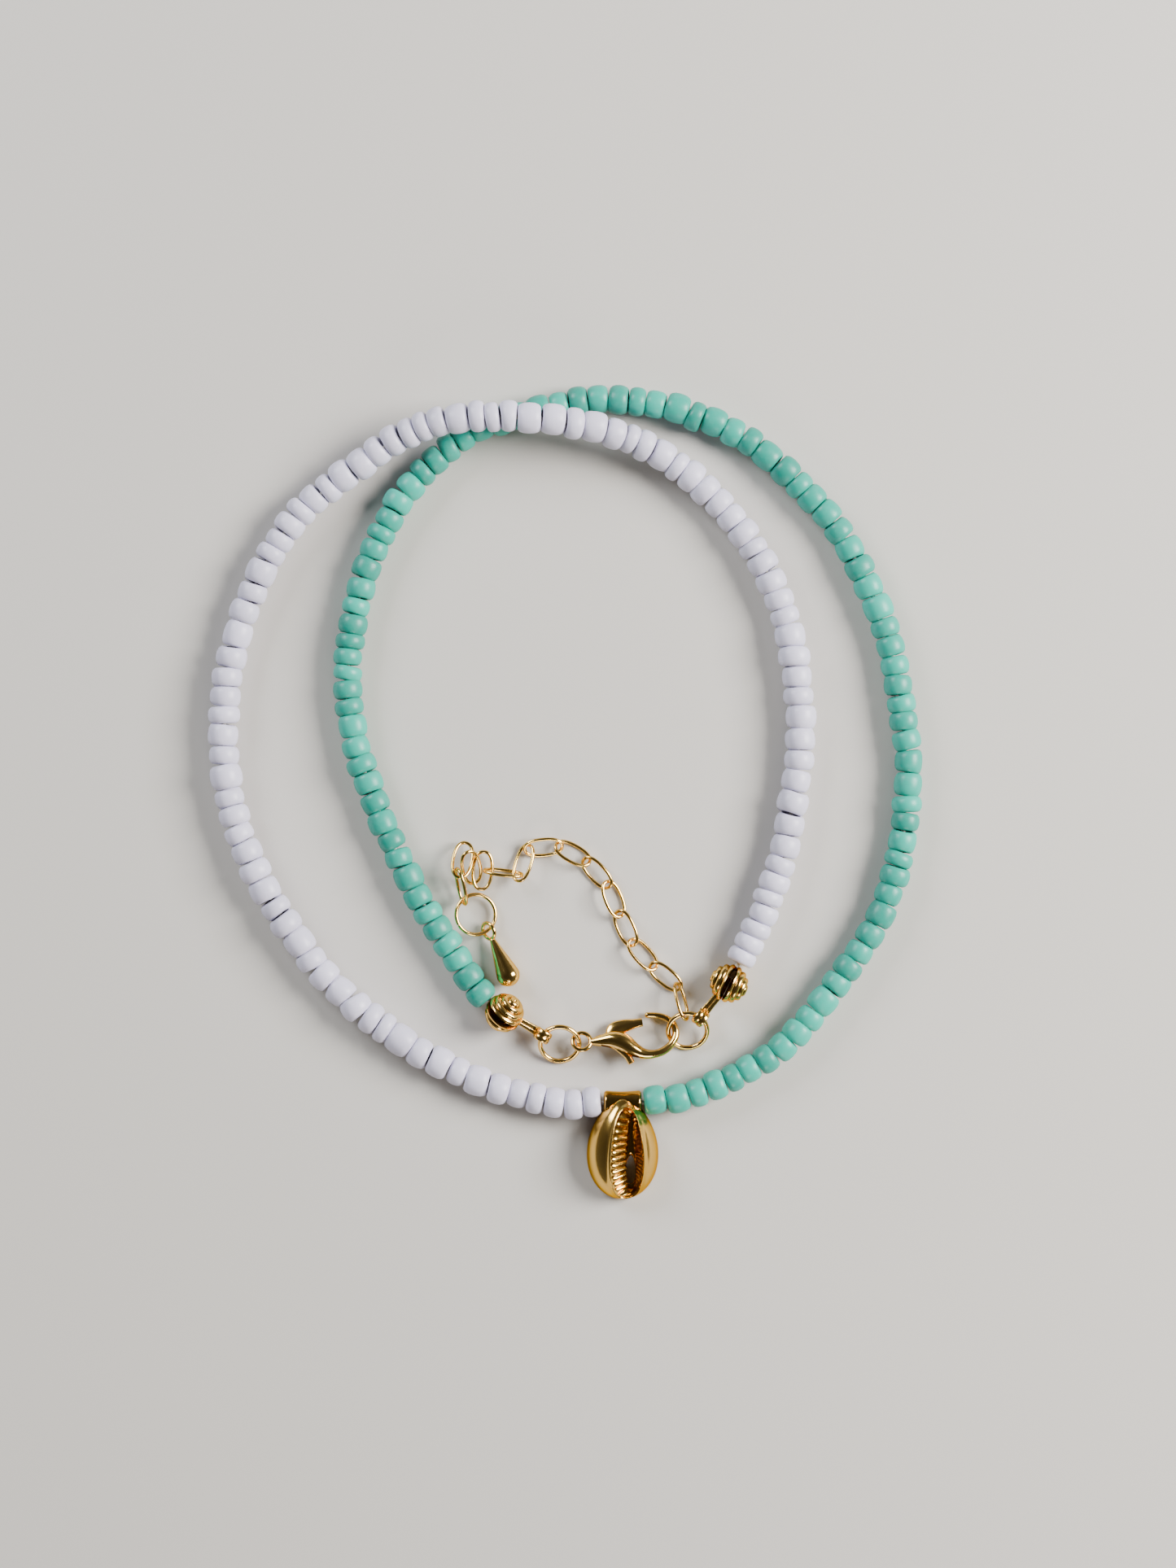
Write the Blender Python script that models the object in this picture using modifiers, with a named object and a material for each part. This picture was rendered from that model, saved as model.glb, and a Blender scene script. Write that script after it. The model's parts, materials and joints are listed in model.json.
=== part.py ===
"""Cowrie shell necklace, clasped and laid down as two loops that cross at the far side.

Half of the beads are turquoise and half are white, with a cast gold cowrie on its bail between them.
The turquoise half ends at the left knot cover and the white half at the right one. Two jump rings, a
lobster clasp and an extender chain with a teardrop charm close the loop. The necklace lies in the XY
plane with +Z up, the cowrie towards -Y, and the middle of its box at the origin.
"""
import math

import bmesh
import bpy
from mathutils import Matrix, Vector

MM = 0.001
MERGE_DISTANCE = 0.001 * MM

# Clearances between pieces
SEAT_GAP = 0.3 * MM
LINK_GAP = 0.14 * MM
HINGE_GAP = 0.1 * MM
RIVET_GAP = 0.15 * MM
CURL_GAP = 0.42 * MM
REST_GAP = 0.02 * MM

# Bead strings
BEAD_DIAMETER = 3.5 * MM
THREAD_DIAMETER = 0.6 * MM
THREAD_REACH = 0.15
SHOULDER = 0.4 * MM
STRING_STEP = 7.0 * MM
STRING_SIDES = 10
CROSSING = (-6.6 * MM, 43.1 * MM)
CROSSING_REACH = 26.0 * MM
CROSSING_LIFT = BEAD_DIAMETER + SEAT_GAP

# Route of the turquoise half in mm, from the left knot cover to the bail
TURQUOISE_ROUTE = [
    (-10.4, -22.7), (-17.5, -11.5), (-23.0, 0.9), (-25.4, 11.3), (-24.6, 20.8), (-21.5, 30.3),
    (-16.1, 37.9), (-9.0, 42.9), (4.3, 45.9), (15.7, 43.9), (24.3, 38.8), (31.9, 30.5),
    (36.9, 20.6), (39.3, 9.9), (39.9, -1.5), (37.6, -12.4), (32.6, -21.0), (25.2, -29.8),
    (15.7, -35.0),
]
# Route of the white half in mm, from the bail to the right knot cover
WHITE_ROUTE = [
    (-1.4, -36.2), (-10.9, -33.3), (-20.4, -28.1), (-28.4, -21.0), (-34.6, -12.0), (-38.7, -2.5),
    (-39.9, 8.9), (-37.7, 20.3), (-32.3, 31.0), (-23.7, 38.4), (-15.2, 42.7), (-5.2, 43.3),
    (5.7, 41.7), (14.8, 36.8), (21.9, 28.7), (25.9, 19.6), (27.4, 8.9), (26.4, -2.5),
    (23.8, -12.4),
]

# Cowrie pendant
SHELL_LENGTH = 12.4 * MM
SHELL_WIDTH = 8.4 * MM
SHELL_HEIGHT = 3.6 * MM
SHELL_WALL = 0.7 * MM
SHELL_TILT = 11.0
SHELL_FULLNESS = 1.23
SHELL_SETBACK = 0.8 * MM
SLOT_LENGTH = 9.0 * MM
SLOT_WIDTH = 1.5 * MM
SLOT_TIP = 0.2 * MM
SLOT_OFFSET = 0.2 * MM
SLOT_MIDDLE = 0.53
TOOTH_DEPTH = 0.35 * MM
TEETH = 9
BAIL_PLACE = (6.7 * MM, -36.2 * MM)
BAIL_LENGTH = 4.4 * MM
BAIL_DIAMETER = 2.8 * MM
BAIL_BORE = 1.5 * MM

# Knot covers
COVER_DIAMETER = 4.3 * MM
COVER_WALL = 0.45 * MM
COVER_RIB = 0.12 * MM
COVER_RIBS = 5
COVER_SLIT = 0.9 * MM
THREAD_HOLE = 1.2 * MM
STRIP_WIDTH = 1.0 * MM
STRIP_THICKNESS = 0.32 * MM
# Where the strip leaves the ball, as shares of its diameter: out, up
STRIP_ROOT = (0.39, -0.22)
# The curl's first and last angle and its number of steps
CURL_SWEEP = (-75.0, 190.0, 10)

# Rings
RING_DIAMETER = 5.13 * MM
JUMP_WIRE = 0.57 * MM
END_WIRE = 0.45 * MM
RING_SPLIT = 0.1 * MM
RING_STEPS = 28
RING_SIDES = 8

RING_ROLL = 24.0

# Places of the knot covers, and how far each is rolled in degrees
LEFT_COVER = (-7.08 * MM, -25.65 * MM)
RIGHT_COVER = (19.09 * MM, -22.23 * MM)
LEFT_COVER_ROLL = -27.0
RIGHT_COVER_ROLL = -6.0

# Lobster clasp, laid out from its rivet
CLASP_PLACE = (5.08 * MM, -28.98 * MM, 1.5 * MM)
CLASP_LENGTH = 10.0 * MM
CLASP_ROLL = -16.0
CLASP_FLAT = 1.15
CLASP_SIDES = 8
EYE_DIAMETER = 0.26 * CLASP_LENGTH
EYE_WIRE = 0.05 * CLASP_LENGTH
EYE_STEPS = 18
EYE_ROLL = -10.0
LEVER_THICKNESS = 0.08 * CLASP_LENGTH
RIVET_DIAMETER = 0.07 * CLASP_LENGTH
RIVET_LENGTH = 0.21 * CLASP_LENGTH
RIVET_SIDES = 12
# The clasp's places and tables hold shares of its length.
EYE_CENTRE = (-0.315, -0.01)
# Where a jump ring's wire passes the clasp: along, across, up
EYE_GRIP = (-0.345, -0.042, -0.015)
HOOK_GRIP = (0.694, 0.114, -0.025)
# Centre line of the body and hook: along, across, half thickness
CLASP_LINE = [
    (-0.21, -0.01, 0.030), (-0.14, -0.01, 0.050), (-0.075, 0.0, 0.074), (0.05, 0.01, 0.105),
    (0.16, -0.02, 0.113), (0.275, -0.095, 0.095), (0.39, -0.15, 0.065), (0.51, -0.16, 0.050),
    (0.64, -0.12, 0.047), (0.74, -0.03, 0.044), (0.785, 0.09, 0.042), (0.74, 0.215, 0.040),
    (0.61, 0.29, 0.036), (0.42, 0.305, 0.033),
]
# Outline of the lever: along, across
LEVER_OUTLINE = [
    (-0.03, -0.085), (0.22, -0.285), (0.29, -0.23), (0.175, -0.02), (0.24, 0.095),
    (0.43, 0.185), (0.35, 0.25), (0.07, 0.24), (-0.09, 0.155), (-0.06, 0.02),
]
# First and last end of the slot that the lever swings in, and half its width across
LEVER_SLOT = (-0.088, 0.36, 0.35)

# Extender chain
LINK_LENGTH = 4.8 * MM
LINK_WIDTH = 2.6 * MM
LINK_WIRE = 0.4 * MM
LINK_ROLL = 30.0
FIRST_LINK_ROLL = 65.0
LINK_STEPS = 14
LINK_SIDES = 6
CHAIN_START = 100.0
# Run of the chain after the right jump ring, in mm: along, across, height
CHAIN_RUN = [
    (13.3, -22.9, 1.0), (10.8, -20.8, 0.8), (8.1, -18.0, 0.75), (6.5, -14.6, 0.75),
    (5.3, -11.3, 0.75), (2.8, -8.3, 0.75), (-0.4, -6.3, 0.75), (-4.4, -6.6, 0.8),
]
# Last links, folded back on each other. Angles in degrees; the grips are shares of the link's half
# reach and half width, where the wire before it and the wire after it cross the link.
# heading, climb, roll, grip in (along, across), grip out (along, across)
CHAIN_FOLD = [
    (-107.0, 9.0, 35.0, (-0.9, 0.0), (0.75, 0.0)),
    (173.0, 0.0, 76.0, (-1.0, 0.0), (0.85, -0.4)),
    (85.0, 0.0, 8.0, (0.05, -1.0), (-0.2, 1.0)),
    (102.0, 32.0, 22.0, (-0.5, -0.35), (0.15, 1.0)),
    (80.0, -24.0, 5.0, (-0.5, -0.5), (-1.0, 0.1)),
    (-80.0, -18.0, 68.0, (-0.75, 0.0), (1.0, 0.0)),
]
END_RING_HEADING = -48.0
END_RING_CLIMB = -8.0
END_RING_ROLL = -13.0

# Teardrop charm
DROP_EYE_DIAMETER = 2.4 * MM
DROP_EYE_WIRE = 0.45 * MM
DROP_EYE_STEPS = 16
DROP_LENGTH = 6.0 * MM
DROP_DIAMETER = 2.7 * MM
DROP_EYE_ROLL = 48.0
DROP_SLACK = 0.12 * MM
DROP_GRIP = -4.0
DROP_HEADING = -66.0
# Sections of the drop: share of its length from the neck, share of its diameter
DROP_SECTIONS = [
    (0.0, 0.0), (0.0, 0.26), (0.18, 0.41), (0.36, 0.59), (0.54, 0.78), (0.73, 0.98),
    (0.80, 1.0), (0.86, 0.93), (0.92, 0.78), (0.96, 0.56), (0.99, 0.29), (1.0, 0.0),
]


def clear_scene():
    """Remove every object of the file that the script runs in."""
    for existing in list(bpy.data.objects):
        bpy.data.objects.remove(existing, do_unlink=True)


def make_collection(name):
    """A new collection in the scene."""
    collection = bpy.data.collections.new(name)
    bpy.context.scene.collection.children.link(collection)
    return collection


def make_material(name, colour, roughness, metallic):
    """A Principled material for one sub-part."""
    material = bpy.data.materials.new(name)
    material.use_nodes = True
    surface = material.node_tree.nodes["Principled BSDF"]
    surface.inputs["Base Color"].default_value = (*colour, 1.0)
    surface.inputs["Roughness"].default_value = roughness
    surface.inputs["Metallic"].default_value = metallic
    return material


def turned(heading, climb=0.0, roll=0.0):
    """Rotation that rolls about X, then climbs, then turns to a heading, all in degrees."""
    return (Matrix.Rotation(math.radians(heading), 4, "Z")
            @ Matrix.Rotation(math.radians(-climb), 4, "Y")
            @ Matrix.Rotation(math.radians(roll), 4, "X"))


def placed(point, heading, climb=0.0, roll=0.0):
    """World matrix of a piece at a point."""
    return Matrix.Translation(Vector(point)) @ turned(heading, climb, roll)


def smooth_line(points, steps=8):
    """Points on a Catmull-Rom curve through the given ones."""
    chosen = [Vector(point) for point in points]
    padded = [2 * chosen[0] - chosen[1], *chosen, 2 * chosen[-1] - chosen[-2]]
    line = []
    for index in range(1, len(padded) - 2):
        before, start, end, after = padded[index - 1:index + 3]
        for step in range(steps):
            t = step / steps
            line.append(0.5 * (2 * start + (end - before) * t
                               + (2 * before - 5 * start + 4 * end - after) * t * t
                               + (3 * start - before - 3 * end + after) * t ** 3))
    line.append(chosen[-1])
    return line


def spaced_line(line, count):
    """The line read again at count + 1 points that lie evenly along it."""
    lengths = [0.0]
    for first, second in zip(line, line[1:]):
        lengths.append(lengths[-1] + (second - first).length)
    spaced = []
    index = 0
    for step in range(count + 1):
        wanted = lengths[-1] * step / count
        while index < len(line) - 2 and lengths[index + 1] < wanted:
            index += 1
        share = (wanted - lengths[index]) / (lengths[index + 1] - lengths[index])
        spaced.append(line[index].lerp(line[index + 1], min(share, 1.0)))
    return spaced


def line_length(line):
    """Length along a line of points."""
    return sum((second - first).length for first, second in zip(line, line[1:]))


def wire(name, points, radii, sides, collection, material, closed=False):
    """A round wire along points, as a curve object with a radius at each point."""
    data = bpy.data.curves.new(name, "CURVE")
    data.dimensions = "3D"
    data.bevel_depth = 1.0
    data.bevel_resolution = sides // 2 - 2
    data.use_fill_caps = True
    spline = data.splines.new("POLY")
    spline.points.add(len(points) - 1)
    for place, point, radius in zip(spline.points, points, radii):
        place.co = (*point, 1.0)
        place.radius = radius
    spline.use_cyclic_u = closed
    data.materials.append(material)
    piece = bpy.data.objects.new(name, data)
    collection.objects.link(piece)
    return piece


def as_mesh(curve_object):
    """The same piece as a mesh object, its caps welded on."""
    bpy.context.view_layer.update()
    graph = bpy.context.evaluated_depsgraph_get()
    mesh = bpy.data.meshes.new_from_object(curve_object.evaluated_get(graph))
    work = bmesh.new()
    work.from_mesh(mesh)
    bmesh.ops.remove_doubles(work, verts=work.verts, dist=MERGE_DISTANCE)
    work.to_mesh(mesh)
    work.free()
    name = curve_object.name
    collection = curve_object.users_collection[0]
    matrix = curve_object.matrix_world.copy()
    bpy.data.objects.remove(curve_object, do_unlink=True)
    piece = bpy.data.objects.new(name, mesh)
    piece.matrix_world = matrix
    collection.objects.link(piece)
    return piece


def mesh_piece(name, work, collection, material):
    """An object from a finished bmesh."""
    mesh = bpy.data.meshes.new(name)
    work.to_mesh(mesh)
    work.free()
    mesh.materials.append(material)
    piece = bpy.data.objects.new(name, mesh)
    collection.objects.link(piece)
    return piece


def cylinder(name, diameter, length, sides, collection, material):
    """A cylinder along Z, centred on its origin."""
    work = bmesh.new()
    bmesh.ops.create_cone(work, cap_ends=True, segments=sides, radius1=diameter / 2,
                          radius2=diameter / 2, depth=length)
    return mesh_piece(name, work, collection, material)


def plate(name, outline, thickness, collection, material):
    """A flat plate with a straight outline in XY, centred on its own plane."""
    work = bmesh.new()
    corners = [work.verts.new((x, y, -thickness / 2)) for x, y in outline]
    face = work.faces.new(corners)
    raised = bmesh.ops.extrude_face_region(work, geom=[face])["geom"]
    moved = [item for item in raised if isinstance(item, bmesh.types.BMVert)]
    bmesh.ops.translate(work, verts=moved, vec=(0, 0, thickness))
    bmesh.ops.recalc_face_normals(work, faces=work.faces)
    return mesh_piece(name, work, collection, material)


def combine(piece, other, operation):
    """Cut another object from a piece, or join it on, and hide the other one."""
    modifier = piece.modifiers.new(operation.title(), "BOOLEAN")
    modifier.operation = operation
    modifier.object = other
    other.hide_render = True
    other.display_type = "WIRE"


def circle(radius, steps, split=0.0):
    """Points round a circle in XY. A split leaves the ends that far apart, at -Y."""
    if not split:
        angles = [2 * math.pi * step / steps for step in range(steps)]
    else:
        open_angle = split / radius
        start = -math.pi / 2 + open_angle / 2
        angles = [start + (2 * math.pi - open_angle) * step / steps for step in range(steps + 1)]
    return [Vector((radius * math.cos(a), radius * math.sin(a), 0)) for a in angles]


def bead_rest_height():
    """Height of a string's centre line when a flat of its ten sides lies on the ground."""
    return BEAD_DIAMETER / 2 * math.cos(math.pi / STRING_SIDES)


def crossing_height(point):
    """Extra height of the white string where it passes over the turquoise one."""
    distance = math.hypot(point.x - CROSSING[0], point.y - CROSSING[1])
    if distance > CROSSING_REACH:
        return 0.0
    return CROSSING_LIFT * (1 + math.cos(math.pi * distance / CROSSING_REACH)) / 2


def cover_centre(place):
    """Centre of a knot cover's ball."""
    return Vector((*place, COVER_DIAMETER / 2 + COVER_RIB))


def bail_centre():
    """Centre of the bail, on the strings' centre line."""
    return Vector((*BAIL_PLACE, bead_rest_height()))


def string_line(cover, route, bail_side):
    """Centre line of one string, from the first bead at its knot cover to the last at the bail."""
    centre = cover_centre(cover)
    height = bead_rest_height()
    chosen = [Vector((x * MM, y * MM, height)) for x, y in route]
    outward = chosen[0] - centre
    outward.z = 0
    start = centre + outward.normalized() * (COVER_DIAMETER / 2 + COVER_RIB + SEAT_GAP)
    start.z = height
    end = bail_centre() + Vector((bail_side * (BAIL_LENGTH / 2 + SEAT_GAP), 0, 0))
    return smooth_line([start, *chosen, end])


def build_string(name, cover, route, bail_side, lifted, parts, material):
    """One bead string with a short bare thread tail at each end."""
    line = string_line(cover, route, bail_side)
    line = spaced_line(line, max(8, round(line_length(line) / STRING_STEP)))
    if lifted:
        line = [point + Vector((0, 0, crossing_height(point))) for point in line]
    thread = THREAD_DIAMETER / 2
    bead = BEAD_DIAMETER / 2
    inside = cover_centre(cover).lerp(line[0], THREAD_REACH)
    tail = bail_centre() + Vector((bail_side * (THREAD_DIAMETER + SEAT_GAP) / 2, 0, 0))
    first = (line[1] - line[0]).normalized() * SHOULDER
    last = (line[-2] - line[-1]).normalized() * SHOULDER
    points = [inside, line[0], line[0] + first, *line[1:-1], line[-1] + last, line[-1], tail]
    radii = [thread, thread, bead, *[bead] * (len(line) - 2), bead, thread, thread]
    return wire(name, points, radii, STRING_SIDES, parts, material)


def egg_radius(share):
    """Half width of the shell at a share of its length, as a share of the full width."""
    fullness = share ** SHELL_FULLNESS
    return math.sqrt(max(fullness * (1 - fullness), 0.0))


def build_shell_dome(name, parts, material):
    """The open half egg, from its narrow top at the origin to its foot at -Y."""
    work = bmesh.new()
    bmesh.ops.create_uvsphere(work, u_segments=24, v_segments=14, radius=1.0)
    for vert in work.verts:
        share = (1 - vert.co.z) / 2
        ring = math.hypot(vert.co.x, vert.co.y)
        across = vert.co.x / ring if ring > 1e-6 else 0.0
        up = vert.co.y / ring if ring > 1e-6 else 0.0
        radius = egg_radius(share)
        vert.co = (across * radius * SHELL_WIDTH, -share * SHELL_LENGTH,
                   up * radius * 2 * SHELL_HEIGHT)
    everything = [*work.verts, *work.edges, *work.faces]
    bmesh.ops.bisect_plane(work, geom=everything, plane_co=(0, 0, 0), plane_no=(0, 0, -1),
                           clear_outer=True, dist=MERGE_DISTANCE)
    bmesh.ops.recalc_face_normals(work, faces=work.faces)
    dome = mesh_piece(name, work, parts, material)
    shell = dome.modifiers.new("Wall", "SOLIDIFY")
    shell.thickness = SHELL_WALL
    shell.offset = -1
    return dome


def tooth_outline():
    """Outline of the slot: a long oval whose sides step in and out as teeth."""
    outline = []
    steps = 2 * TEETH
    for side in (1, -1):
        for step in range(steps + 1):
            along = side * SLOT_LENGTH * (0.5 - step / steps)
            bow = math.sqrt(max(1 - (2 * along / SLOT_LENGTH) ** 2, 0.0))
            depth = TOOTH_DEPTH if step % 2 else 0.0
            across = side * max((SLOT_WIDTH / 2 - depth) * bow, SLOT_TIP / 2)
            outline.append((across, along))
    return outline


def build_cowrie(parts, cutters, material):
    """The cast shell with its toothed slot, and the bail behind its top."""
    shell = build_shell_dome("cowrie_pendant", parts, material)
    top = bail_centre() + Vector((0, SHELL_SETBACK, 0))
    top.z = SHELL_LENGTH * math.sin(math.radians(SHELL_TILT)) + REST_GAP
    shell.matrix_world = placed(top, 0.0) @ Matrix.Rotation(math.radians(SHELL_TILT), 4, "X")
    slot = plate("shell_slot", tooth_outline(), 2 * SHELL_HEIGHT, cutters, material)
    slot.matrix_world = shell.matrix_world @ Matrix.Translation(
        (SLOT_OFFSET, -SLOT_MIDDLE * SHELL_LENGTH, SHELL_HEIGHT))
    bail = cylinder("bail", BAIL_DIAMETER, BAIL_LENGTH, 16, cutters, material)
    bail.matrix_world = Matrix.Translation(bail_centre()) @ Matrix.Rotation(math.pi / 2, 4, "Y")
    bore = cylinder("bail_bore", BAIL_BORE, 2 * BAIL_LENGTH, 12, cutters, material)
    bore.matrix_world = bail.matrix_world.copy()
    combine(shell, slot, "DIFFERENCE")
    combine(shell, bail, "UNION")
    combine(shell, bore, "DIFFERENCE")
    return shell


def cover_profile():
    """Half outline of the ribbed ball, down its outer side from pole to pole."""
    steps = 2 * COVER_RIBS + 2
    profile = []
    for step in range(steps + 1):
        angle = math.pi / 2 - math.pi * step / steps
        radius = COVER_DIAMETER / 2 + (COVER_RIB if step % 2 else 0.0)
        profile.append((radius * math.cos(angle), radius * math.sin(angle)))
    return profile


def turned_piece(name, profile, steps, collection, material):
    """A solid turned about Z from a profile in XZ, closed at the axis."""
    mesh = bpy.data.meshes.new(name)
    points = [(max(radius, 0.0), 0.0, height) for radius, height in profile]
    points[0] = (0.0, 0.0, points[0][2])
    points[-1] = (0.0, 0.0, points[-1][2])
    edges = [(index, index + 1) for index in range(len(points) - 1)]
    mesh.from_pydata(points, edges, [])
    mesh.materials.append(material)
    piece = bpy.data.objects.new(name, mesh)
    collection.objects.link(piece)
    screw = piece.modifiers.new("Turn", "SCREW")
    screw.steps = steps
    screw.render_steps = steps
    screw.use_merge_vertices = True
    screw.merge_threshold = MERGE_DISTANCE
    return piece


def strip_path(reach, curl_height, curl_radius):
    """Side outline of the cover's strip: out from the ball, then curled round the ring's wire."""
    first, last, steps = CURL_SWEEP
    path = [(STRIP_ROOT[0] * COVER_DIAMETER, STRIP_ROOT[1] * COVER_DIAMETER),
            (reach - curl_radius, curl_height - curl_radius)]
    for step in range(steps + 1):
        angle = math.radians(first + (last - first) * step / steps)
        path.append((reach + curl_radius * math.cos(angle),
                     curl_height + curl_radius * math.sin(angle)))
    return path


def build_strip(name, path, collection, material):
    """A flat strip bent along a path in XZ."""
    work = bmesh.new()
    rows = []
    for x, z in path:
        rows.append([work.verts.new((x, side * STRIP_WIDTH / 2, z)) for side in (-1, 1)])
    for first, second in zip(rows, rows[1:]):
        work.faces.new((first[0], first[1], second[1], second[0]))
    strip = mesh_piece(name, work, collection, material)
    wall = strip.modifiers.new("Thickness", "SOLIDIFY")
    wall.thickness = STRIP_THICKNESS
    wall.offset = 0
    return strip


def build_cover(name, place, route_point, roll, ring, parts, cutters, material):
    """A knot cover: two ribbed cups with a slit between them, and a strip round its jump ring."""
    centre = cover_centre(place)
    outward = Vector((route_point[0] * MM, route_point[1] * MM, centre.z)) - centre
    heading = math.degrees(math.atan2(outward.y, outward.x))
    ball = turned_piece(name, cover_profile(), 16, parts, material)
    ball.matrix_world = placed(centre, heading, 0, roll) @ Matrix.Rotation(math.pi / 2, 4, "X")
    hollow_work = bmesh.new()
    bmesh.ops.create_uvsphere(hollow_work, u_segments=12, v_segments=8,
                              radius=COVER_DIAMETER / 2 - COVER_WALL)
    hollow = mesh_piece(name + "_hollow", hollow_work, cutters, material)
    hollow.matrix_world = ball.matrix_world.copy()
    slit_work = bmesh.new()
    bmesh.ops.create_uvsphere(slit_work, u_segments=16, v_segments=8, radius=1.0)
    bmesh.ops.scale(slit_work, verts=slit_work.verts,
                    vec=(COVER_DIAMETER / 2, COVER_DIAMETER / 2, COVER_SLIT / 2))
    slit = mesh_piece(name + "_slit", slit_work, cutters, material)
    slit.matrix_world = ball.matrix_world @ Matrix.Translation((0, COVER_DIAMETER / 3, 0))
    hole = cylinder(name + "_hole", THREAD_HOLE, COVER_DIAMETER, 10, cutters, material)
    drop = Vector((outward.x, outward.y, 0)).normalized() * COVER_DIAMETER / 2
    drop.z = bead_rest_height() - centre.z
    hole.matrix_world = (Matrix.Translation(centre + drop)
                         @ drop.to_track_quat("Z", "Y").to_matrix().to_4x4())
    toward = ring.translation - centre
    back = math.degrees(math.atan2(-toward.y, -toward.x))
    arm = ring @ rim_point((RING_DIAMETER - JUMP_WIRE) / 2, back) - centre
    curl_radius = JUMP_WIRE / 2 + STRIP_THICKNESS / 2 + CURL_GAP
    strip = build_strip(name + "_strip", strip_path(math.hypot(arm.x, arm.y), arm.z, curl_radius),
                        cutters, material)
    strip.matrix_world = placed(centre, math.degrees(math.atan2(arm.y, arm.x)))
    combine(ball, strip, "UNION")
    combine(ball, hollow, "DIFFERENCE")
    combine(ball, slit, "DIFFERENCE")
    combine(ball, hole, "DIFFERENCE")
    return ball


def build_ring(name, matrix, wire_diameter, parts, material):
    """A split ring of round wire."""
    points = circle((RING_DIAMETER - wire_diameter) / 2, RING_STEPS, RING_SPLIT)
    ring = wire(name, points, [wire_diameter / 2] * len(points), RING_SIDES, parts, material)
    ring.matrix_world = matrix
    return ring


def ring_matrix(grip, side):
    """World matrix of the jump ring on one side of the clasp, its wire at the grip."""
    centre = Vector(CLASP_PLACE) + Vector(grip) * CLASP_LENGTH
    centre.x += side * (RING_DIAMETER - JUMP_WIRE) / 2
    return placed(centre, 0, 0, RING_ROLL)


def clasp_matrix():
    """World matrix of the clasp, with its rivet's axis along Z."""
    return placed(CLASP_PLACE, 0, 0, CLASP_ROLL)


def scaled(outline):
    """An outline given as shares of the clasp's length, in metres."""
    return [(x * CLASP_LENGTH, y * CLASP_LENGTH) for x, y in outline]


def build_clasp(parts, cutters, gold):
    """The clasp's cast body, its spring lever and the rivet that the lever turns on."""
    matrix = clasp_matrix()
    line = [point * CLASP_LENGTH for point in smooth_line(CLASP_LINE, 3)]
    points = [Vector((point.x, point.y, 0)) for point in line]
    radii = [point.z for point in line]
    body = as_mesh(wire("clasp_body", points, radii, CLASP_SIDES, parts, gold))
    for vert in body.data.vertices:
        vert.co.z *= CLASP_FLAT
    body.matrix_world = matrix
    eye_points = circle((EYE_DIAMETER - EYE_WIRE) / 2, EYE_STEPS)
    eye = as_mesh(wire("clasp_eye", eye_points, [EYE_WIRE / 2] * EYE_STEPS, CLASP_SIDES, cutters,
                       gold, True))
    eye.matrix_world = matrix @ placed(Vector((*EYE_CENTRE, 0)) * CLASP_LENGTH, 0, 0, EYE_ROLL)
    start, end, half = LEVER_SLOT
    slot_outline = scaled([(start, -half), (end, -half), (end, half), (start, half)])
    slot = plate("clasp_slot", slot_outline, LEVER_THICKNESS + 2 * HINGE_GAP, cutters, gold)
    lever = plate("clasp_lever", scaled(LEVER_OUTLINE), LEVER_THICKNESS, parts, gold)
    rivet = cylinder("clasp_rivet", RIVET_DIAMETER, RIVET_LENGTH, RIVET_SIDES, parts, gold)
    bore = cylinder("clasp_bore", RIVET_DIAMETER + 2 * RIVET_GAP, 2 * RIVET_LENGTH, RIVET_SIDES,
                    cutters, gold)
    for piece in (slot, lever, rivet, bore):
        piece.matrix_world = matrix.copy()
    combine(body, eye, "UNION")
    combine(body, slot, "DIFFERENCE")
    combine(body, bore, "DIFFERENCE")
    combine(lever, bore, "DIFFERENCE")


def link_points():
    """Centre line of a link: two straight sides and two half circles, in XY along X."""
    radius = (LINK_WIDTH - LINK_WIRE) / 2
    half = (LINK_LENGTH - LINK_WIRE) / 2 - radius
    points = []
    for step in range(LINK_STEPS):
        angle = -math.pi / 2 + math.pi * (step % (LINK_STEPS // 2)) / (LINK_STEPS // 2 - 1)
        side = 1 if step < LINK_STEPS // 2 else -1
        points.append(Vector((side * (half + radius * math.cos(angle)),
                              side * radius * math.sin(angle), 0)))
    return points


def rim_point(radius, angle):
    """Point on a circle in XY, at an angle in degrees."""
    return Vector((radius * math.cos(math.radians(angle)), radius * math.sin(math.radians(angle)), 0))


def hook_radius(wire_diameter):
    """Distance from a ring's centre to where a link's wire and the ring's wire pass each other."""
    return RING_DIAMETER / 2 - wire_diameter - LINK_GAP / 2


def link_reach():
    """Distance between the wires before and after a link when the chain is pulled straight."""
    return LINK_LENGTH - 2 * LINK_WIRE - LINK_GAP


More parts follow.
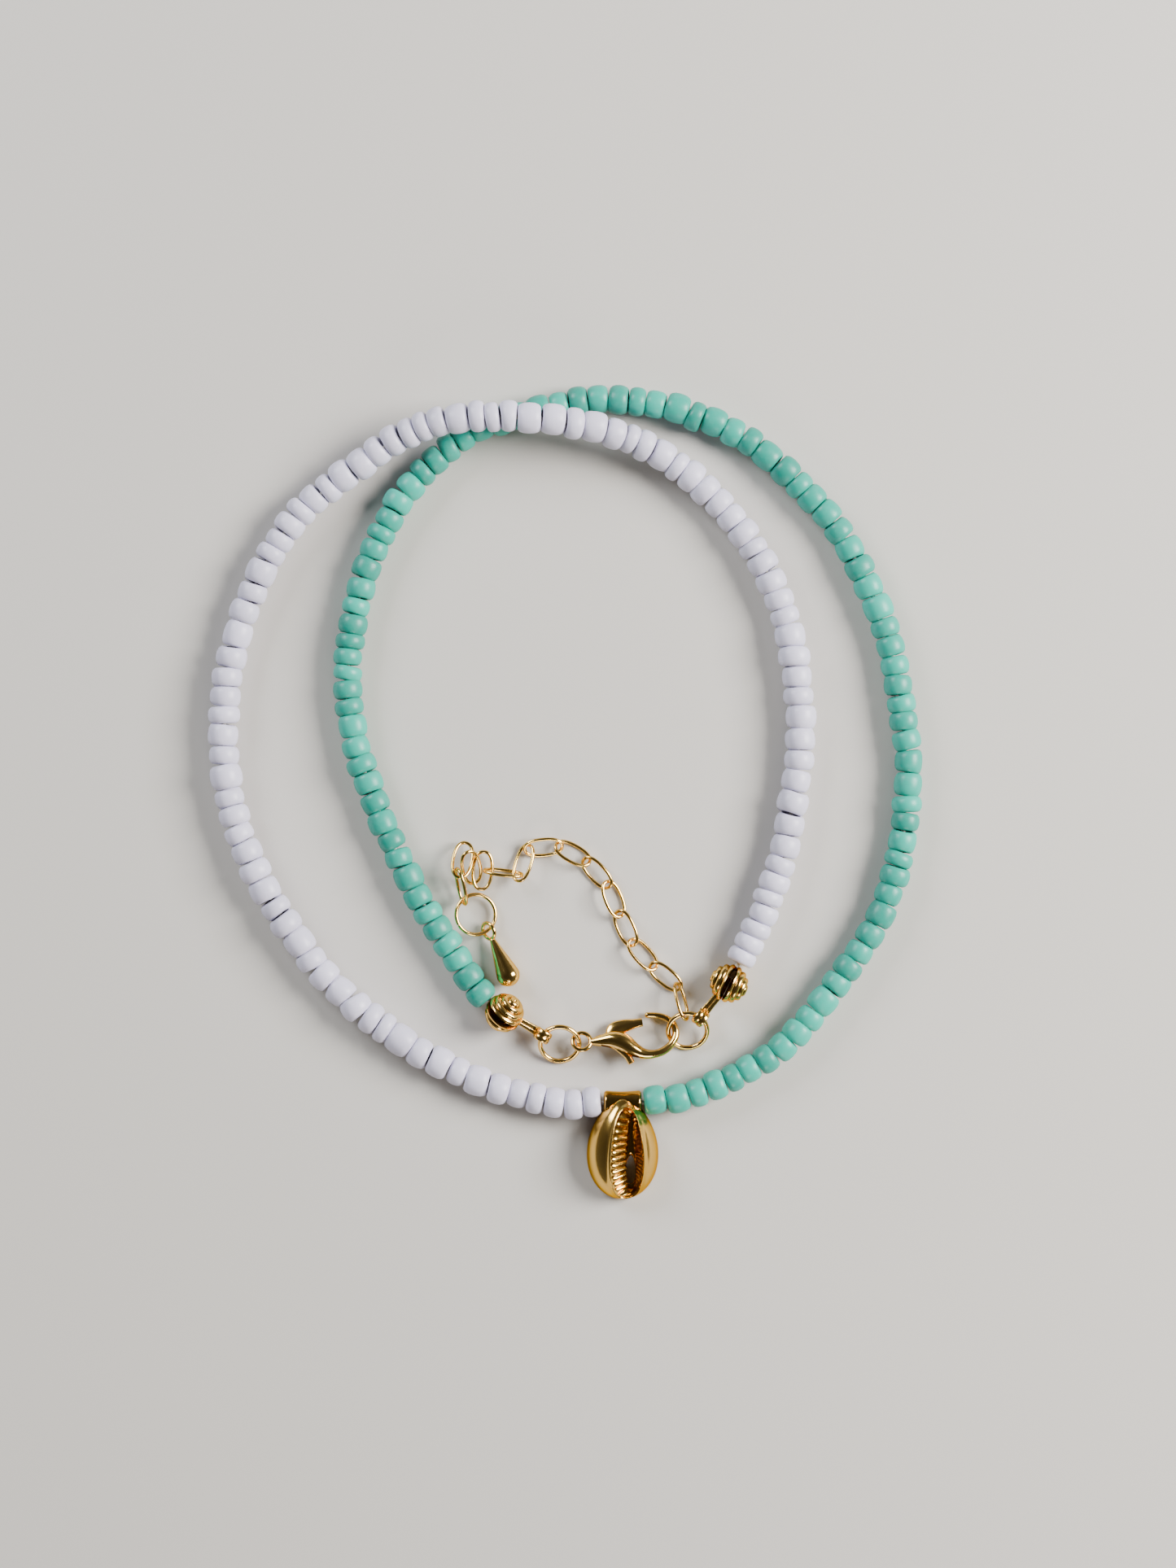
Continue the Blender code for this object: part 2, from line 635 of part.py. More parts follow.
def chain_places(ring):
    """World matrices of the chain's links, and the point where the end ring's wire passes."""
    start = ring @ rim_point(hook_radius(JUMP_WIRE), CHAIN_START)
    line = smooth_line([start, *[Vector(point) * MM for point in CHAIN_RUN]])
    count = math.ceil(line_length(line) / link_reach())
    joints = spaced_line(line, count)
    places = []
    for index in range(count):
        first, second = joints[index], joints[index + 1]
        step = second - first
        heading = math.degrees(math.atan2(step.y, step.x))
        climb = math.degrees(math.atan2(step.z, math.hypot(step.x, step.y)))
        roll = -LINK_ROLL if (count - index) % 2 else LINK_ROLL
        if index == 0:
            roll = FIRST_LINK_ROLL
        places.append(placed((first + second) / 2, heading, climb, roll))
    joint = joints[-1]
    half_reach = link_reach() / 2
    half_width = (LINK_WIDTH - 2 * LINK_WIRE - LINK_GAP) / 2
    for heading, climb, roll, grip_in, grip_out in CHAIN_FOLD:
        turn = turned(heading, climb, roll)
        entry = turn @ Vector((grip_in[0] * half_reach, grip_in[1] * half_width, 0))
        centre = joint - entry
        places.append(Matrix.Translation(centre) @ turn)
        joint = centre + turn @ Vector((grip_out[0] * half_reach, grip_out[1] * half_width, 0))
    return places, joint


def build_chain(ring, parts, gold):
    """The extender chain from a jump ring, and its end ring, whose matrix it returns."""
    places, joint = chain_places(ring)
    points = link_points()
    for index, place in enumerate(places):
        name = f"chain_link_{index + 1:02d}"
        link = wire(name, points, [LINK_WIRE / 2] * len(points), LINK_SIDES, parts, gold, True)
        link.matrix_world = place
    turn = turned(END_RING_HEADING, END_RING_CLIMB, END_RING_ROLL)
    centre = joint + turn @ Vector((hook_radius(END_WIRE), 0, 0))
    end_matrix = Matrix.Translation(centre) @ turn
    build_ring("end_ring", end_matrix, END_WIRE, parts, gold)
    return end_matrix


def drop_profile():
    """Half outline of the teardrop, down its outer side, from the neck to the round foot."""
    return [(width * DROP_DIAMETER / 2, -along * DROP_LENGTH) for along, width in DROP_SECTIONS]


def build_drop(ring, parts, cutters, gold):
    """The teardrop charm, whose eye holds the end ring's wire."""
    contact = ring @ rim_point((RING_DIAMETER - END_WIRE) / 2, DROP_GRIP)
    eye_radius = (DROP_EYE_DIAMETER - DROP_EYE_WIRE) / 2
    heading = math.radians(DROP_HEADING)
    along = Vector((math.cos(heading), math.sin(heading), 0))
    eye_centre = contact + along * DROP_SLACK
    drop = turned_piece("drop_charm", drop_profile(), 12, parts, gold)
    foot_reach = eye_radius + DROP_LENGTH - DROP_DIAMETER / 2
    lie = math.degrees(math.asin((DROP_DIAMETER / 2 - eye_centre.z) / foot_reach))
    frame = placed(eye_centre, DROP_HEADING, lie, 0)
    drop.matrix_world = (frame @ Matrix.Translation((eye_radius, 0, 0))
                         @ Matrix.Rotation(-math.pi / 2, 4, "Y"))
    eye_points = circle(eye_radius, DROP_EYE_STEPS)
    eye = as_mesh(wire("drop_eye", eye_points, [DROP_EYE_WIRE / 2] * DROP_EYE_STEPS, RING_SIDES,
                       cutters, gold, True))
    eye.matrix_world = frame @ Matrix.Rotation(math.radians(DROP_EYE_ROLL), 4, "X")
    combine(drop, eye, "UNION")


def main():
    """Build the whole necklace."""
    clear_scene()
    parts = make_collection("cowrie_shell_necklace")
    cutters = make_collection("cutters")
    turquoise = make_material("turquoise_glass", (0.12, 0.56, 0.42), 0.42, 0.0)
    white = make_material("white_glass", (0.80, 0.79, 0.88), 0.35, 0.0)
    gold = make_material("gold_plate", (0.83, 0.61, 0.22), 0.22, 1.0)
    build_string("turquoise_beads", LEFT_COVER, TURQUOISE_ROUTE, 1, False, parts, turquoise)
    build_string("white_beads", RIGHT_COVER, WHITE_ROUTE[::-1], -1, True, parts, white)
    build_cowrie(parts, cutters, gold)
    left_ring = ring_matrix(EYE_GRIP, -1)
    right_ring = ring_matrix(HOOK_GRIP, 1)
    build_cover("left_knot_cover", LEFT_COVER, TURQUOISE_ROUTE[0], LEFT_COVER_ROLL, left_ring,
                parts, cutters, gold)
    build_cover("right_knot_cover", RIGHT_COVER, WHITE_ROUTE[-1], RIGHT_COVER_ROLL, right_ring,
                parts, cutters, gold)
    build_ring("left_jump_ring", left_ring, JUMP_WIRE, parts, gold)
    build_ring("right_jump_ring", right_ring, JUMP_WIRE, parts, gold)
    build_clasp(parts, cutters, gold)
    end_ring = build_chain(right_ring, parts, gold)
    build_drop(end_ring, parts, cutters, gold)


if __name__ == "__main__":
    main()
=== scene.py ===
"""Cowrie shell necklace: seed beads, cast gold cowrie, knot covers, clasp, chain and charm."""
import json

import bpy
import numpy as np
from bpy.props import FloatProperty, FloatVectorProperty, IntProperty, PointerProperty
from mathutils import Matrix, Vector


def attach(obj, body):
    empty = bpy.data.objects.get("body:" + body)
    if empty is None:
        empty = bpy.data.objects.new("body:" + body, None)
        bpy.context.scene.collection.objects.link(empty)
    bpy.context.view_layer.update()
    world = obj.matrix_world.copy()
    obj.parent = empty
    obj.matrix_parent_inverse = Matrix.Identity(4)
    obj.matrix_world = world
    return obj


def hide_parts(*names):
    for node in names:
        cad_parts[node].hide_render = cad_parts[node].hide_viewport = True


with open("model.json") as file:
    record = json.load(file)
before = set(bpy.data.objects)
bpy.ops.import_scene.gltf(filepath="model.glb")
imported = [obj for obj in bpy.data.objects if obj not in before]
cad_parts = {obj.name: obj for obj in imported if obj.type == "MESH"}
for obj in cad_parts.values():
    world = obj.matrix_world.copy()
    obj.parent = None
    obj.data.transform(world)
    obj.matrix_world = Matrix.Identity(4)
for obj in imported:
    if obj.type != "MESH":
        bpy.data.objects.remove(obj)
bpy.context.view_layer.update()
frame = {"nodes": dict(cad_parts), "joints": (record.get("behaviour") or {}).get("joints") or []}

bl_info = {
    "name": "Cowrie Shell Necklace",
    "version": (1, 0, 0),
    "blender": (4, 5, 0),
    "location": "View3D > Sidebar > Necklace",
    "description": "Builds the beads, gold findings and finishes of a cowrie shell necklace",
    "category": "Add Mesh",
}

MM = 0.001
BODY = "necklace"
LEVER_BODY = "lever"
RIGHT = np.array((1.0, 0.0, 0.0))
UP = np.array((0.0, 0.0, 1.0))

# Bead routes in mm, seen from above: the turquoise half from the left knot cover to the bail, and
# the white half from the bail to the right knot cover
TURQUOISE_ROUTE = [
    (-10.4, -22.7), (-17.5, -11.5), (-23.0, 0.9), (-25.4, 11.3), (-24.6, 20.8), (-21.5, 30.3),
    (-16.1, 37.9), (-9.0, 42.9), (4.3, 45.9), (15.7, 43.9), (24.3, 38.8), (31.9, 30.5),
    (36.9, 20.6), (39.3, 9.9), (39.9, -1.5), (37.6, -12.4), (32.6, -21.0), (25.2, -29.8),
    (15.7, -35.0),
]
WHITE_ROUTE = [
    (-1.4, -36.2), (-10.9, -33.3), (-20.4, -28.1), (-28.4, -21.0), (-34.6, -12.0), (-38.7, -2.5),
    (-39.9, 8.9), (-37.7, 20.3), (-32.3, 31.0), (-23.7, 38.4), (-15.2, 42.7), (-5.2, 43.3),
    (5.7, 41.7), (14.8, 36.8), (21.9, 28.7), (25.9, 19.6), (27.4, 8.9), (26.4, -2.5),
    (23.8, -12.4),
]
BEAD_HEIGHT = 1.664 * MM
CROSSING = np.array((-6.6, 43.1)) * MM
CROSSING_REACH = 26.0 * MM
CROSSING_LIFT = 3.8 * MM
SEAT_GAP = 0.3 * MM
SPAN_STEPS = 24
THREAD_ROWS = 160

# Seed beads: how far their lengths and diameters spread, as shares, with the limits, then the
# spread of their tilt, place and wedge, the powers that round a section's corners, and the share
# of its room that half a bead fills
BEAD_SIDES, BEAD_ROWS = 20, 14
LENGTH_SPREAD, LENGTH_LIMITS = 0.14, (0.74, 1.34)
DIAMETER_SPREAD, DIAMETER_LIMITS = 0.032, (0.93, 1.06)
TILT_SPREAD, TILT_SHARES = 0.012 * MM, (1.5, 1.5, 0.5)
TILT_STEP = 0.1 * MM
PLACE_SPREAD = 0.07 * MM
WEDGE_SPREAD = 0.05
LUMP = 0.012
CORNER_POWERS = (0.80, 0.96)
HALF_FILL = 0.492

# Knot covers: centre of the ball in mm and roll in degrees, then the cups' ribs, wall and slit
COVER_BALL = 2.27 * MM
LEFT_COVER = (-7.08, -25.65, 2.27)
RIGHT_COVER = (19.09, -22.23, 2.27)
LEFT_COVER_ROLL = -27.0
RIGHT_COVER_ROLL = -6.0
CUP_ROWS, CUP_SIDES = 80, 72
CUP_RIBS, RIB_DEPTH = 8, 0.24 * MM
CUP_WALL = 0.62 * MM
SLIT_ANGLE, RIM_ANGLE = 0.19, 0.012
# A cover's arm: its root from the ball's centre in mm, its section, and how its end curls round
# the ring's wire: room outside the wire, and first and last angle in degrees
ARM_ROOT = (1.548, -0.86)
ARM_HALF_WIDTH, ARM_HALF_THICKNESS = 0.70 * MM, 0.17 * MM
ARM_ROWS, ARM_SIDES = 90, 56
CURL_ROOM, CURL_TURN = 0.55 * MM, (-75, 200)

# Gap in a split ring, and the power that makes a link's round shape a little square
SPLIT_GAP = 0.10 * MM
LINK_POWER = 2 / 2.35

# Bail: its outside and its bore in mm, along its axis and out from it
BAIL_CENTRE = np.array((6.7, -36.2, 1.664)) * MM
BAIL_HALF = 2.2 * MM
BAIL_SIDES = 40
BAIL_PROFILE = [
    (-2.2, 0.80), (-2.14, 1.18), (-1.9, 1.38), (-1.2, 1.34), (0, 1.30), (1.2, 1.34),
    (1.9, 1.38), (2.14, 1.18), (2.2, 0.80),
]
BAIL_BORE = [(2.0, 0.72), (-2.0, 0.72)]

# Cowrie: the curves inside its outline as middle, width, start below the top, length and bluntness
SHELL_TOP = np.array((6.7, -35.4, 2.386)) * MM
SHELL_TILT = 11.0
SHELL_FULLNESS = 1.23
SHELL_SIDES = 360
DOME_ROWS, LIP_ROWS, TROUGH_ROWS, UNDER_ROWS = 24, 24, 13, 16
SHELL_CREST = (0.45 * MM, 4.0 * MM, 0.85 * MM, 10.95 * MM, 0.74)
SHELL_SLOT = (1.0 * MM, 1.3 * MM, 1.6 * MM, 9.5 * MM, 0.7)
SHELL_HOLE = (0.95 * MM, 1.15 * MM, 6.9 * MM, 3.5 * MM, 0.8)
CREST_RISE, CREST_REACH = 0.22 * MM, 0.24 * MM
LIP_DROP = 0.46
HOLE_HEIGHT = 0.85 * MM
SHELL_WALL = 0.3 * MM
# Teeth of the left and the right lip in mm: their height, how far they reach into the slot, and
# the right lip's share of the pitch
TOOTH_HEIGHTS, TOOTH_REACHES = (0.17, 0.08), (0.12, 0.06)
RIGHT_PITCH = 0.62
# The cowrie's and bail's gold is darkened by these factors: painted shade for the dark room that
# the cast reflects.
COWRIE_PAINTED_SHADE = (0.84, 0.80, 0.72)

# Clasp, as shares of its length, laid out from its rivet: along, across, half thickness
CLASP_LENGTH = 10.0 * MM
CLASP_LINE = [
    (-0.21, -0.01, 0.030), (-0.165, -0.01, 0.047), (-0.075, 0.0, 0.074), (0.05, 0.01, 0.105),
    (0.16, -0.02, 0.113), (0.275, -0.095, 0.095), (0.39, -0.15, 0.065), (0.51, -0.16, 0.050),
    (0.64, -0.12, 0.047), (0.74, -0.03, 0.044), (0.785, 0.09, 0.042), (0.74, 0.215, 0.040),
    (0.61, 0.29, 0.036), (0.42, 0.305, 0.033),
]
CLASP_FLAT = 1.15
# The lever from its thumb tab to the blade's end: along, across, half width
LEVER_LINE = [
    (0.266, -0.266, 0.040), (0.215, -0.175, 0.044), (0.125, -0.075, 0.060), (0.06, 0.02, 0.085),
    (0.07, 0.115, 0.098), (0.17, 0.170, 0.082), (0.29, 0.198, 0.058), (0.395, 0.218, 0.050),
]
LEVER_ROWS = 70
LEVER_HALF_THICKNESS = 0.4 * MM
# The slot's start, end and half width as shares, and its half height
LEVER_SLOT = (-0.088, 0.36, 0.35)
SLOT_HALF_HEIGHT = 0.5 * MM
EYE_CENTRE = (-0.315, -0.01)
EYE_ROLL = -10.0
EYE_RADIUS, EYE_WIRE_RADIUS = 1.05 * MM, 0.25 * MM
# The rivet and the lever's bore in mm: along the axis and out from it
RIVET_PROFILE = [
    (-0.92, 0), (-0.92, 0.29), (-0.86, 0.35), (0.86, 0.35), (0.92, 0.29), (0.92, 0),
]
BORE_PROFILE = [(-0.7, 0), (-0.7, 0.5), (0.7, 0.5), (0.7, 0)]

# Teardrop: share of its length from the neck, share of its largest radius
DROP_SECTIONS = [
    (0.0, 0.22), (0.18, 0.41), (0.36, 0.59), (0.54, 0.78), (0.73, 0.98), (0.80, 1.0),
    (0.86, 0.93), (0.92, 0.78), (0.96, 0.56), (0.99, 0.29), (1.0, 0.0),
]
DROP_LENGTH, DROP_RADIUS = 6.0 * MM, 1.35 * MM
DROP_EYE_RADIUS, DROP_EYE_WIRE_RADIUS = 0.975 * MM, 0.225 * MM
DROP_EYE_ROLL = 48.0

# Stage in metres: the floor, each light's name, place, size, power and colour, the camera's height
# over the middle of its view, and how much that view's longer side takes in
FLOOR_HALF, FLOOR_HEIGHT = 0.6, -0.02 * MM
LIGHTS = (
    ("window", (0.42, 0.10, 0.30), 0.26, 8.6, (1.0, 0.97, 0.93)),
    ("doorway", (-0.34, 0.34, 0.30), 0.24, 3.2, (0.93, 0.96, 1.0)),
    ("lamp", (0.05, -0.46, 0.22), 0.16, 0.9, (1.0, 0.95, 0.88)),
)
ROOM_STOPS = ((0.05, (0.20, 0.19, 0.18, 1)), (0.80, (0.055, 0.05, 0.045, 1)))
ROOM_STRENGTH = 0.7
CAMERA_HEIGHT = 0.30
VIEW_MIDDLE = np.array((2.66, 1.0, 1.7)) * MM
VIEW_LENGTH = 1927 * 0.095 * MM


class NecklaceSizes(bpy.types.PropertyGroup):
    """Sizes that a user would change."""

    turquoise_diameter: FloatProperty(
        name="Turquoise bead", description="Diameter of a turquoise seed bead",
        default=3.42 * MM, unit="LENGTH")
    white_diameter: FloatProperty(
        name="White bead", description="Diameter of a white seed bead",
        default=3.62 * MM, unit="LENGTH")
    bead_length: FloatProperty(
        name="Bead length", description="Usual length of a seed bead along the thread",
        default=2.3 * MM, unit="LENGTH")
    bead_hole: FloatProperty(
        name="Bead hole", description="Diameter of the hole through a seed bead",
        default=1.0 * MM, unit="LENGTH")
    thread: FloatProperty(
        name="Thread", description="Diameter of the thread", default=0.5 * MM, unit="LENGTH")
    bead_seed: IntProperty(
        name="Bead sorting", description="Changes which beads are wide, narrow or tilted",
        default=7)
    shell_length: FloatProperty(
        name="Shell length", description="Length of the cowrie", default=12.4 * MM, unit="LENGTH")
    shell_width: FloatProperty(
        name="Shell width", description="Width of the cowrie", default=8.4 * MM, unit="LENGTH")
    shell_height: FloatProperty(
        name="Shell height", description="Height of the cowrie", default=3.6 * MM, unit="LENGTH")
    tooth_pitch: FloatProperty(
        name="Tooth pitch", description="Distance between two teeth of the cowrie's lips",
        default=0.84 * MM, unit="LENGTH")
    jump_wire: FloatProperty(
        name="Jump ring wire", description="Wire of the jump rings", default=0.57 * MM,
        unit="LENGTH")
    end_wire: FloatProperty(
        name="End ring wire", description="Wire of the chain's end ring", default=0.45 * MM,
        unit="LENGTH")
    ring_diameter: FloatProperty(
        name="Ring", description="Outer diameter of the rings", default=5.13 * MM, unit="LENGTH")
    link_length: FloatProperty(
        name="Link length", description="Length of a chain link", default=4.8 * MM, unit="LENGTH")
    link_width: FloatProperty(
        name="Link width", description="Width of a chain link", default=2.6 * MM, unit="LENGTH")
    link_wire: FloatProperty(
        name="Link wire", description="Wire of a chain link", default=0.4 * MM, unit="LENGTH")


class NecklaceFinishes(bpy.types.PropertyGroup):
    """Colours that a user would change."""

    turquoise: FloatVectorProperty(
        name="Turquoise glass", description="Opaque mint turquoise of the seed beads",
        subtype="COLOR", size=3, default=(0.012, 0.33, 0.25))
    white: FloatVectorProperty(
        name="White glass", description="Opaque white of the seed beads, a little lavender",
        subtype="COLOR", size=3, default=(0.60, 0.58, 0.72))
    gold: FloatVectorProperty(
        name="Gold", description="Pale yellow gold plate", subtype="COLOR", size=3,
        default=(0.93, 0.64, 0.20))
    # Painted shade: this brown is mixed into the gold where a piece marks hollows, recesses and
    # hidden sides. It stands in for the shade and dark reflections that fall there.
    painted_recess_shade: FloatVectorProperty(
        name="Gold in recesses", description="Brown that the plate takes in its grooves",
        subtype="COLOR", size=3, default=(0.34, 0.16, 0.03))
    floor: FloatVectorProperty(
        name="Floor", description="Plain pale floor", subtype="COLOR", size=3,
        default=(0.54, 0.52, 0.49))


class Channel:
    """A shader socket that Python's arithmetic turns into Math nodes."""

    def __init__(self, maker, socket):
        self.maker = maker
        self.socket = socket

    def math(self, operation, first, second):
        """One Math node on two values, of which one is this socket."""
        return self.maker.add("ShaderNodeMath", {"operation": operation}, first, second)

    def __add__(self, other):
        return self.math("ADD", self, other)

    def __sub__(self, other):
        return self.math("SUBTRACT", self, other)

    def __rsub__(self, other):
        return self.math("SUBTRACT", other, self)

    def __mul__(self, other):
        return self.math("MULTIPLY", self, other)

    __radd__ = __add__
    __rmul__ = __mul__


class NodeMaker:
    """The nodes of a material or a world, and the one method that adds them."""

    def __init__(self, owner):
        owner.use_nodes = True
        self.nodes = owner.node_tree.nodes
        self.links = owner.node_tree.links

    def put(self, value, socket):
        """Links a channel to a socket, or sets the socket's own value. None leaves it."""
        if isinstance(value, Channel):
            self.links.new(value.socket, socket)
        elif value is not None:
            socket.default_value = value

    def add(self, kind, settings, *values, out=0, **named):
        """A node of a kind with its settings and its ramp's stops, then its sockets' values in
        order or by name."""
        node = self.nodes.new(kind)
        for key, value in settings.items():
            if key == "stops":
                for stop, (position, colour) in zip(node.color_ramp.elements, value):
                    stop.position, stop.color = position, colour
            else:
                setattr(node, key, value)
        for socket, value in zip(node.inputs, values):
            self.put(value, socket)
        for key, value in named.items():
            self.put(value, node.inputs[key.replace("_", " ")])
        return Channel(self, node.outputs[out])


class Finish(NodeMaker):
    """A new material with its Principled shader."""

    def __init__(self, name):
        self.material = bpy.data.materials.new(name)
        super().__init__(self.material)
        self.surface = self.nodes["Principled BSDF"]

    def place(self):
        """Object coordinates."""
        return self.add("ShaderNodeTexCoord", {}, out="Object")

    def noise(self, scale, detail=2.0, roughness=0.5):
        """Noise in object coordinates, about 0 to 1."""
        return self.add("ShaderNodeTexNoise", {}, Vector=self.place(), Scale=scale, Detail=detail,
                        Roughness=roughness)

    def attribute(self, name):
        """A value stored on the mesh."""
        return self.add("ShaderNodeAttribute", {"attribute_name": name}, out="Fac")

    def mix(self, factor, first, second):
        """A colour between two. A Mix node has its factor first, then five sockets for vectors and
        numbers, then its two colours."""
        first, second = (value if isinstance(value, Channel) else (*value, 1.0)
                         for value in (first, second))
        return self.add("ShaderNodeMix", {"data_type": "RGBA"}, factor, *[None] * 5, first, second,
                        out=2)

    def set(self, **sockets):
        """Values or links of the Principled shader's sockets."""
        for key, value in sockets.items():
            self.put(value, self.surface.inputs[key.replace("_", " ")])
        return self


def glass_finish(name, colour, tone_spread, mottle):
    """Opaque satin glass. Each bead has its own tone, and clouds and specks vary it a little."""
    finish = Finish(name)
    colour = np.array(colour)
    tone = finish.attribute("tone")
    cloud = finish.noise(900.0, 3.0, 0.6)
    deep = tuple(np.clip(colour * (1 - tone_spread), 0, 1))
    light = tuple(np.clip(colour * (1 + tone_spread), 0, 1))
    base = finish.mix(tone, deep, light)
    pale = tuple(np.clip(colour * (1 - mottle) + mottle * 0.9, 0, 1))
    speck = finish.noise(4200.0, 2.0, 0.7)
    base = finish.mix((cloud - 0.45) * 1.6 * speck, base, pale)
    grain = finish.noise(2600.0, 4.0, 0.6)
    bump = finish.add("ShaderNodeBump", {}, Strength=0.25, Distance=0.04 * MM, Height=grain)
    finish.set(Base_Color=base, Roughness=cloud * 0.16 + 0.33, Normal=bump, Coat_Weight=0.06,
               Coat_Roughness=0.22, Specular_IOR_Level=0.4)
    return finish.material


def gold_finish(name, colour, shade, roughness):
    """Polished plate with faint hairlines and softer patches. Painted shade: a brown is mixed in
    where the mesh marks hollows and recesses.
    """
    finish = Finish(name)
    patch = finish.noise(350.0, 2.0, 0.5)
    fine = finish.noise(2400.0, 3.0, 0.6)
    painted_shade = finish.attribute("painted_shade")
    warm = tuple(np.array(colour) * (0.96, 0.88, 0.72))
    base = finish.mix(patch, tuple(colour), warm)
    # painted shade: the share stored on the mesh turns the gold towards the recess brown
    base = finish.mix(painted_shade, base, tuple(shade))
    bump = finish.add("ShaderNodeBump", {}, Strength=0.12, Distance=0.02 * MM, Height=fine)
    finish.set(Base_Color=base, Metallic=1.0, Roughness=patch * 0.08 + fine * 0.05 + roughness,
               Normal=bump, Specular_Tint=(0.80, 0.50, 0.15, 1.0))
    return finish.material


def thread_finish():
    """Waxed beading thread: fine plies round it show as a bump."""
    finish = Finish("beading_thread")
    ply = finish.noise(5000.0, 3.0, 0.7)
    bump = finish.add("ShaderNodeBump", {}, Strength=0.4, Distance=0.05 * MM, Height=ply)
    finish.set(Base_Color=finish.mix(ply, (0.55, 0.52, 0.46), (0.78, 0.76, 0.70)), Roughness=0.6,
               Normal=bump)
    return finish.material


def unit(vectors):
    """Vectors of length one."""
    return vectors / np.linalg.norm(vectors, axis=-1, keepdims=True)


def eased(values, power):
    """sign(v) |v|^power of each value, which makes a round curve fuller or sharper."""
    return np.sign(values) * np.abs(values) ** power


def full_turn(steps):
    """Angles round a full turn in equal steps."""
    return np.linspace(0, 2 * np.pi, steps, endpoint=False)


def arc(centre, radius, angles, normal, side):
    """Points of a circle: centre + radius * (cos a * side + sin a * normal x side)."""
    return centre + radius * (np.cos(angles)[:, None] * side
                              + np.sin(angles)[:, None] * np.cross(normal, side))


def smooth_line(points, steps):
    """Catmull-Rom curve through the points, each span cut in equal steps of t:
    (2 b + (c - a) t + (2 a - 5 b + 4 c - d) t^2 + (3 b - a - 3 c + d) t^3) / 2."""
    p = np.asarray(points, float)
    p = np.vstack([2 * p[0] - p[1], p, 2 * p[-1] - p[-2]])
    a, b, c, d = (p[i:len(p) - 3 + i, None, :] for i in range(4))
    t = (np.arange(steps) / steps)[None, :, None]
    line = 0.5 * (2 * b + (c - a) * t + (2 * a - 5 * b + 4 * c - d) * t ** 2
                  + (3 * b - a - 3 * c + d) * t ** 3)
    return np.vstack([line.reshape(-1, p.shape[1]), p[-2]])


def lengths_along(line):
    """Distance from the start to each point of a line."""
    return np.concatenate([[0.0], np.cumsum(np.linalg.norm(np.diff(line, axis=0), axis=1))])


def even_line(line, count):
    """The line read again at count points that lie evenly along its length."""
    along = lengths_along(line[:, :3])
    wanted = np.linspace(0, along[-1], count)
    return np.stack([np.interp(wanted, along, line[:, k]) for k in range(line.shape[1])], axis=1)


def grid_faces(rows, columns, close_rows=False):
    """Quads between neighbours of a grid of points, row after row, each row closed on itself."""
    r = np.arange(rows if close_rows else rows - 1)[:, None]
    c = np.arange(columns)[None, :]
    r2, c2 = (r + 1) % rows, (c + 1) % columns
    quads = np.stack(np.broadcast_arrays(r * columns + c, r * columns + c2, r2 * columns + c2,
                                         r2 * columns + c), axis=-1)
    return quads.reshape(-1, 4).tolist()


def end_caps(rows, columns):
    """The two faces that close a grid's first and last row."""
    last = (rows - 1) * columns
    return [list(range(columns))[::-1], list(range(last, last + columns))]


def tube(path, section, across, closed=False):
    """A section carried along a path: path + section x * side + section y * rise, where side lies
    across the path and square to the vector across, and rise is square to both. Ends are capped."""
    path = np.asarray(path, float)
    if closed:
        along = np.roll(path, -1, axis=0) - np.roll(path, 1, axis=0)
    else:
        along = np.gradient(path, axis=0)
    along = unit(along)
    side = unit(np.cross(across, along))
    rise = np.cross(along, side)
    section = np.broadcast_to(section, (len(path), *np.shape(section)[-2:]))
    points = path[:, None] + section[..., :1] * side[:, None] + section[..., 1:] * rise[:, None]
    rows, columns = points.shape[:2]
    faces = grid_faces(rows, columns, close_rows=closed)
    if not closed:
        faces += end_caps(rows, columns)
    return points.reshape(-1, 3), faces


def round_section(radii, sides, flat=1.0):
    """Ellipses of the given radii, one for each place on a path: r cos a, flat * r sin a."""
    a = full_turn(sides)
    circle = np.stack([np.cos(a), flat * np.sin(a)], axis=1)
    return np.atleast_1d(radii)[:, None, None] * circle


def lathe(profile, steps, origin, axis, side):
    """A profile of distances along an axis and radii, turned about it and closed in a point at
    each end: origin + along * axis + radius * (cos a * side + sin a * axis x side)."""
    profile = np.asarray(profile, float)
    turn = arc(0.0, 1.0, full_turn(steps), axis, side)
    inner = profile[1:-1]
    points = origin + inner[:, None, :1] * axis + inner[:, None, 1:] * turn[None]
    ends = origin + profile[[0, -1], :1] * axis
    rows = len(inner)
    faces = grid_faces(rows, steps)
    first, last = rows * steps, rows * steps + 1
    c = np.arange(steps)
    c2 = (c + 1) % steps
    faces += np.stack([np.full(steps, first), c2, c], axis=1).tolist()
    faces += np.stack([c + (rows - 1) * steps, c2 + (rows - 1) * steps, np.full(steps, last)],
                      axis=1).tolist()
    return np.vstack([points.reshape(-1, 3), ends]), faces


def outward(points, faces):
    """The same faces, turned round if the volume they enclose is negative: the sum of
    a . (b x c) over their triangles."""
    a, b, c = (points[[face[k] for face in faces]] for k in range(3))
    volume = np.einsum("ij,ij->", a, np.cross(b, c))
    quads = [face for face in faces if len(face) == 4]
    a, b, c = (points[[face[k] for face in quads]] for k in (0, 2, 3))
    volume += np.einsum("ij,ij->", a, np.cross(b, c))
    return faces if volume > 0 else [face[::-1] for face in faces]


def joined(*shapes):
    """Several shapes' points and faces as one, each shape's faces turned outwards."""
    points, faces, count = [], [], 0
    for shape_points, shape_faces in shapes:
        points.append(shape_points)
        faces += [[index + count for index in face]
                  for face in outward(shape_points, shape_faces)]
        count += len(shape_points)
    return np.vstack(points), faces


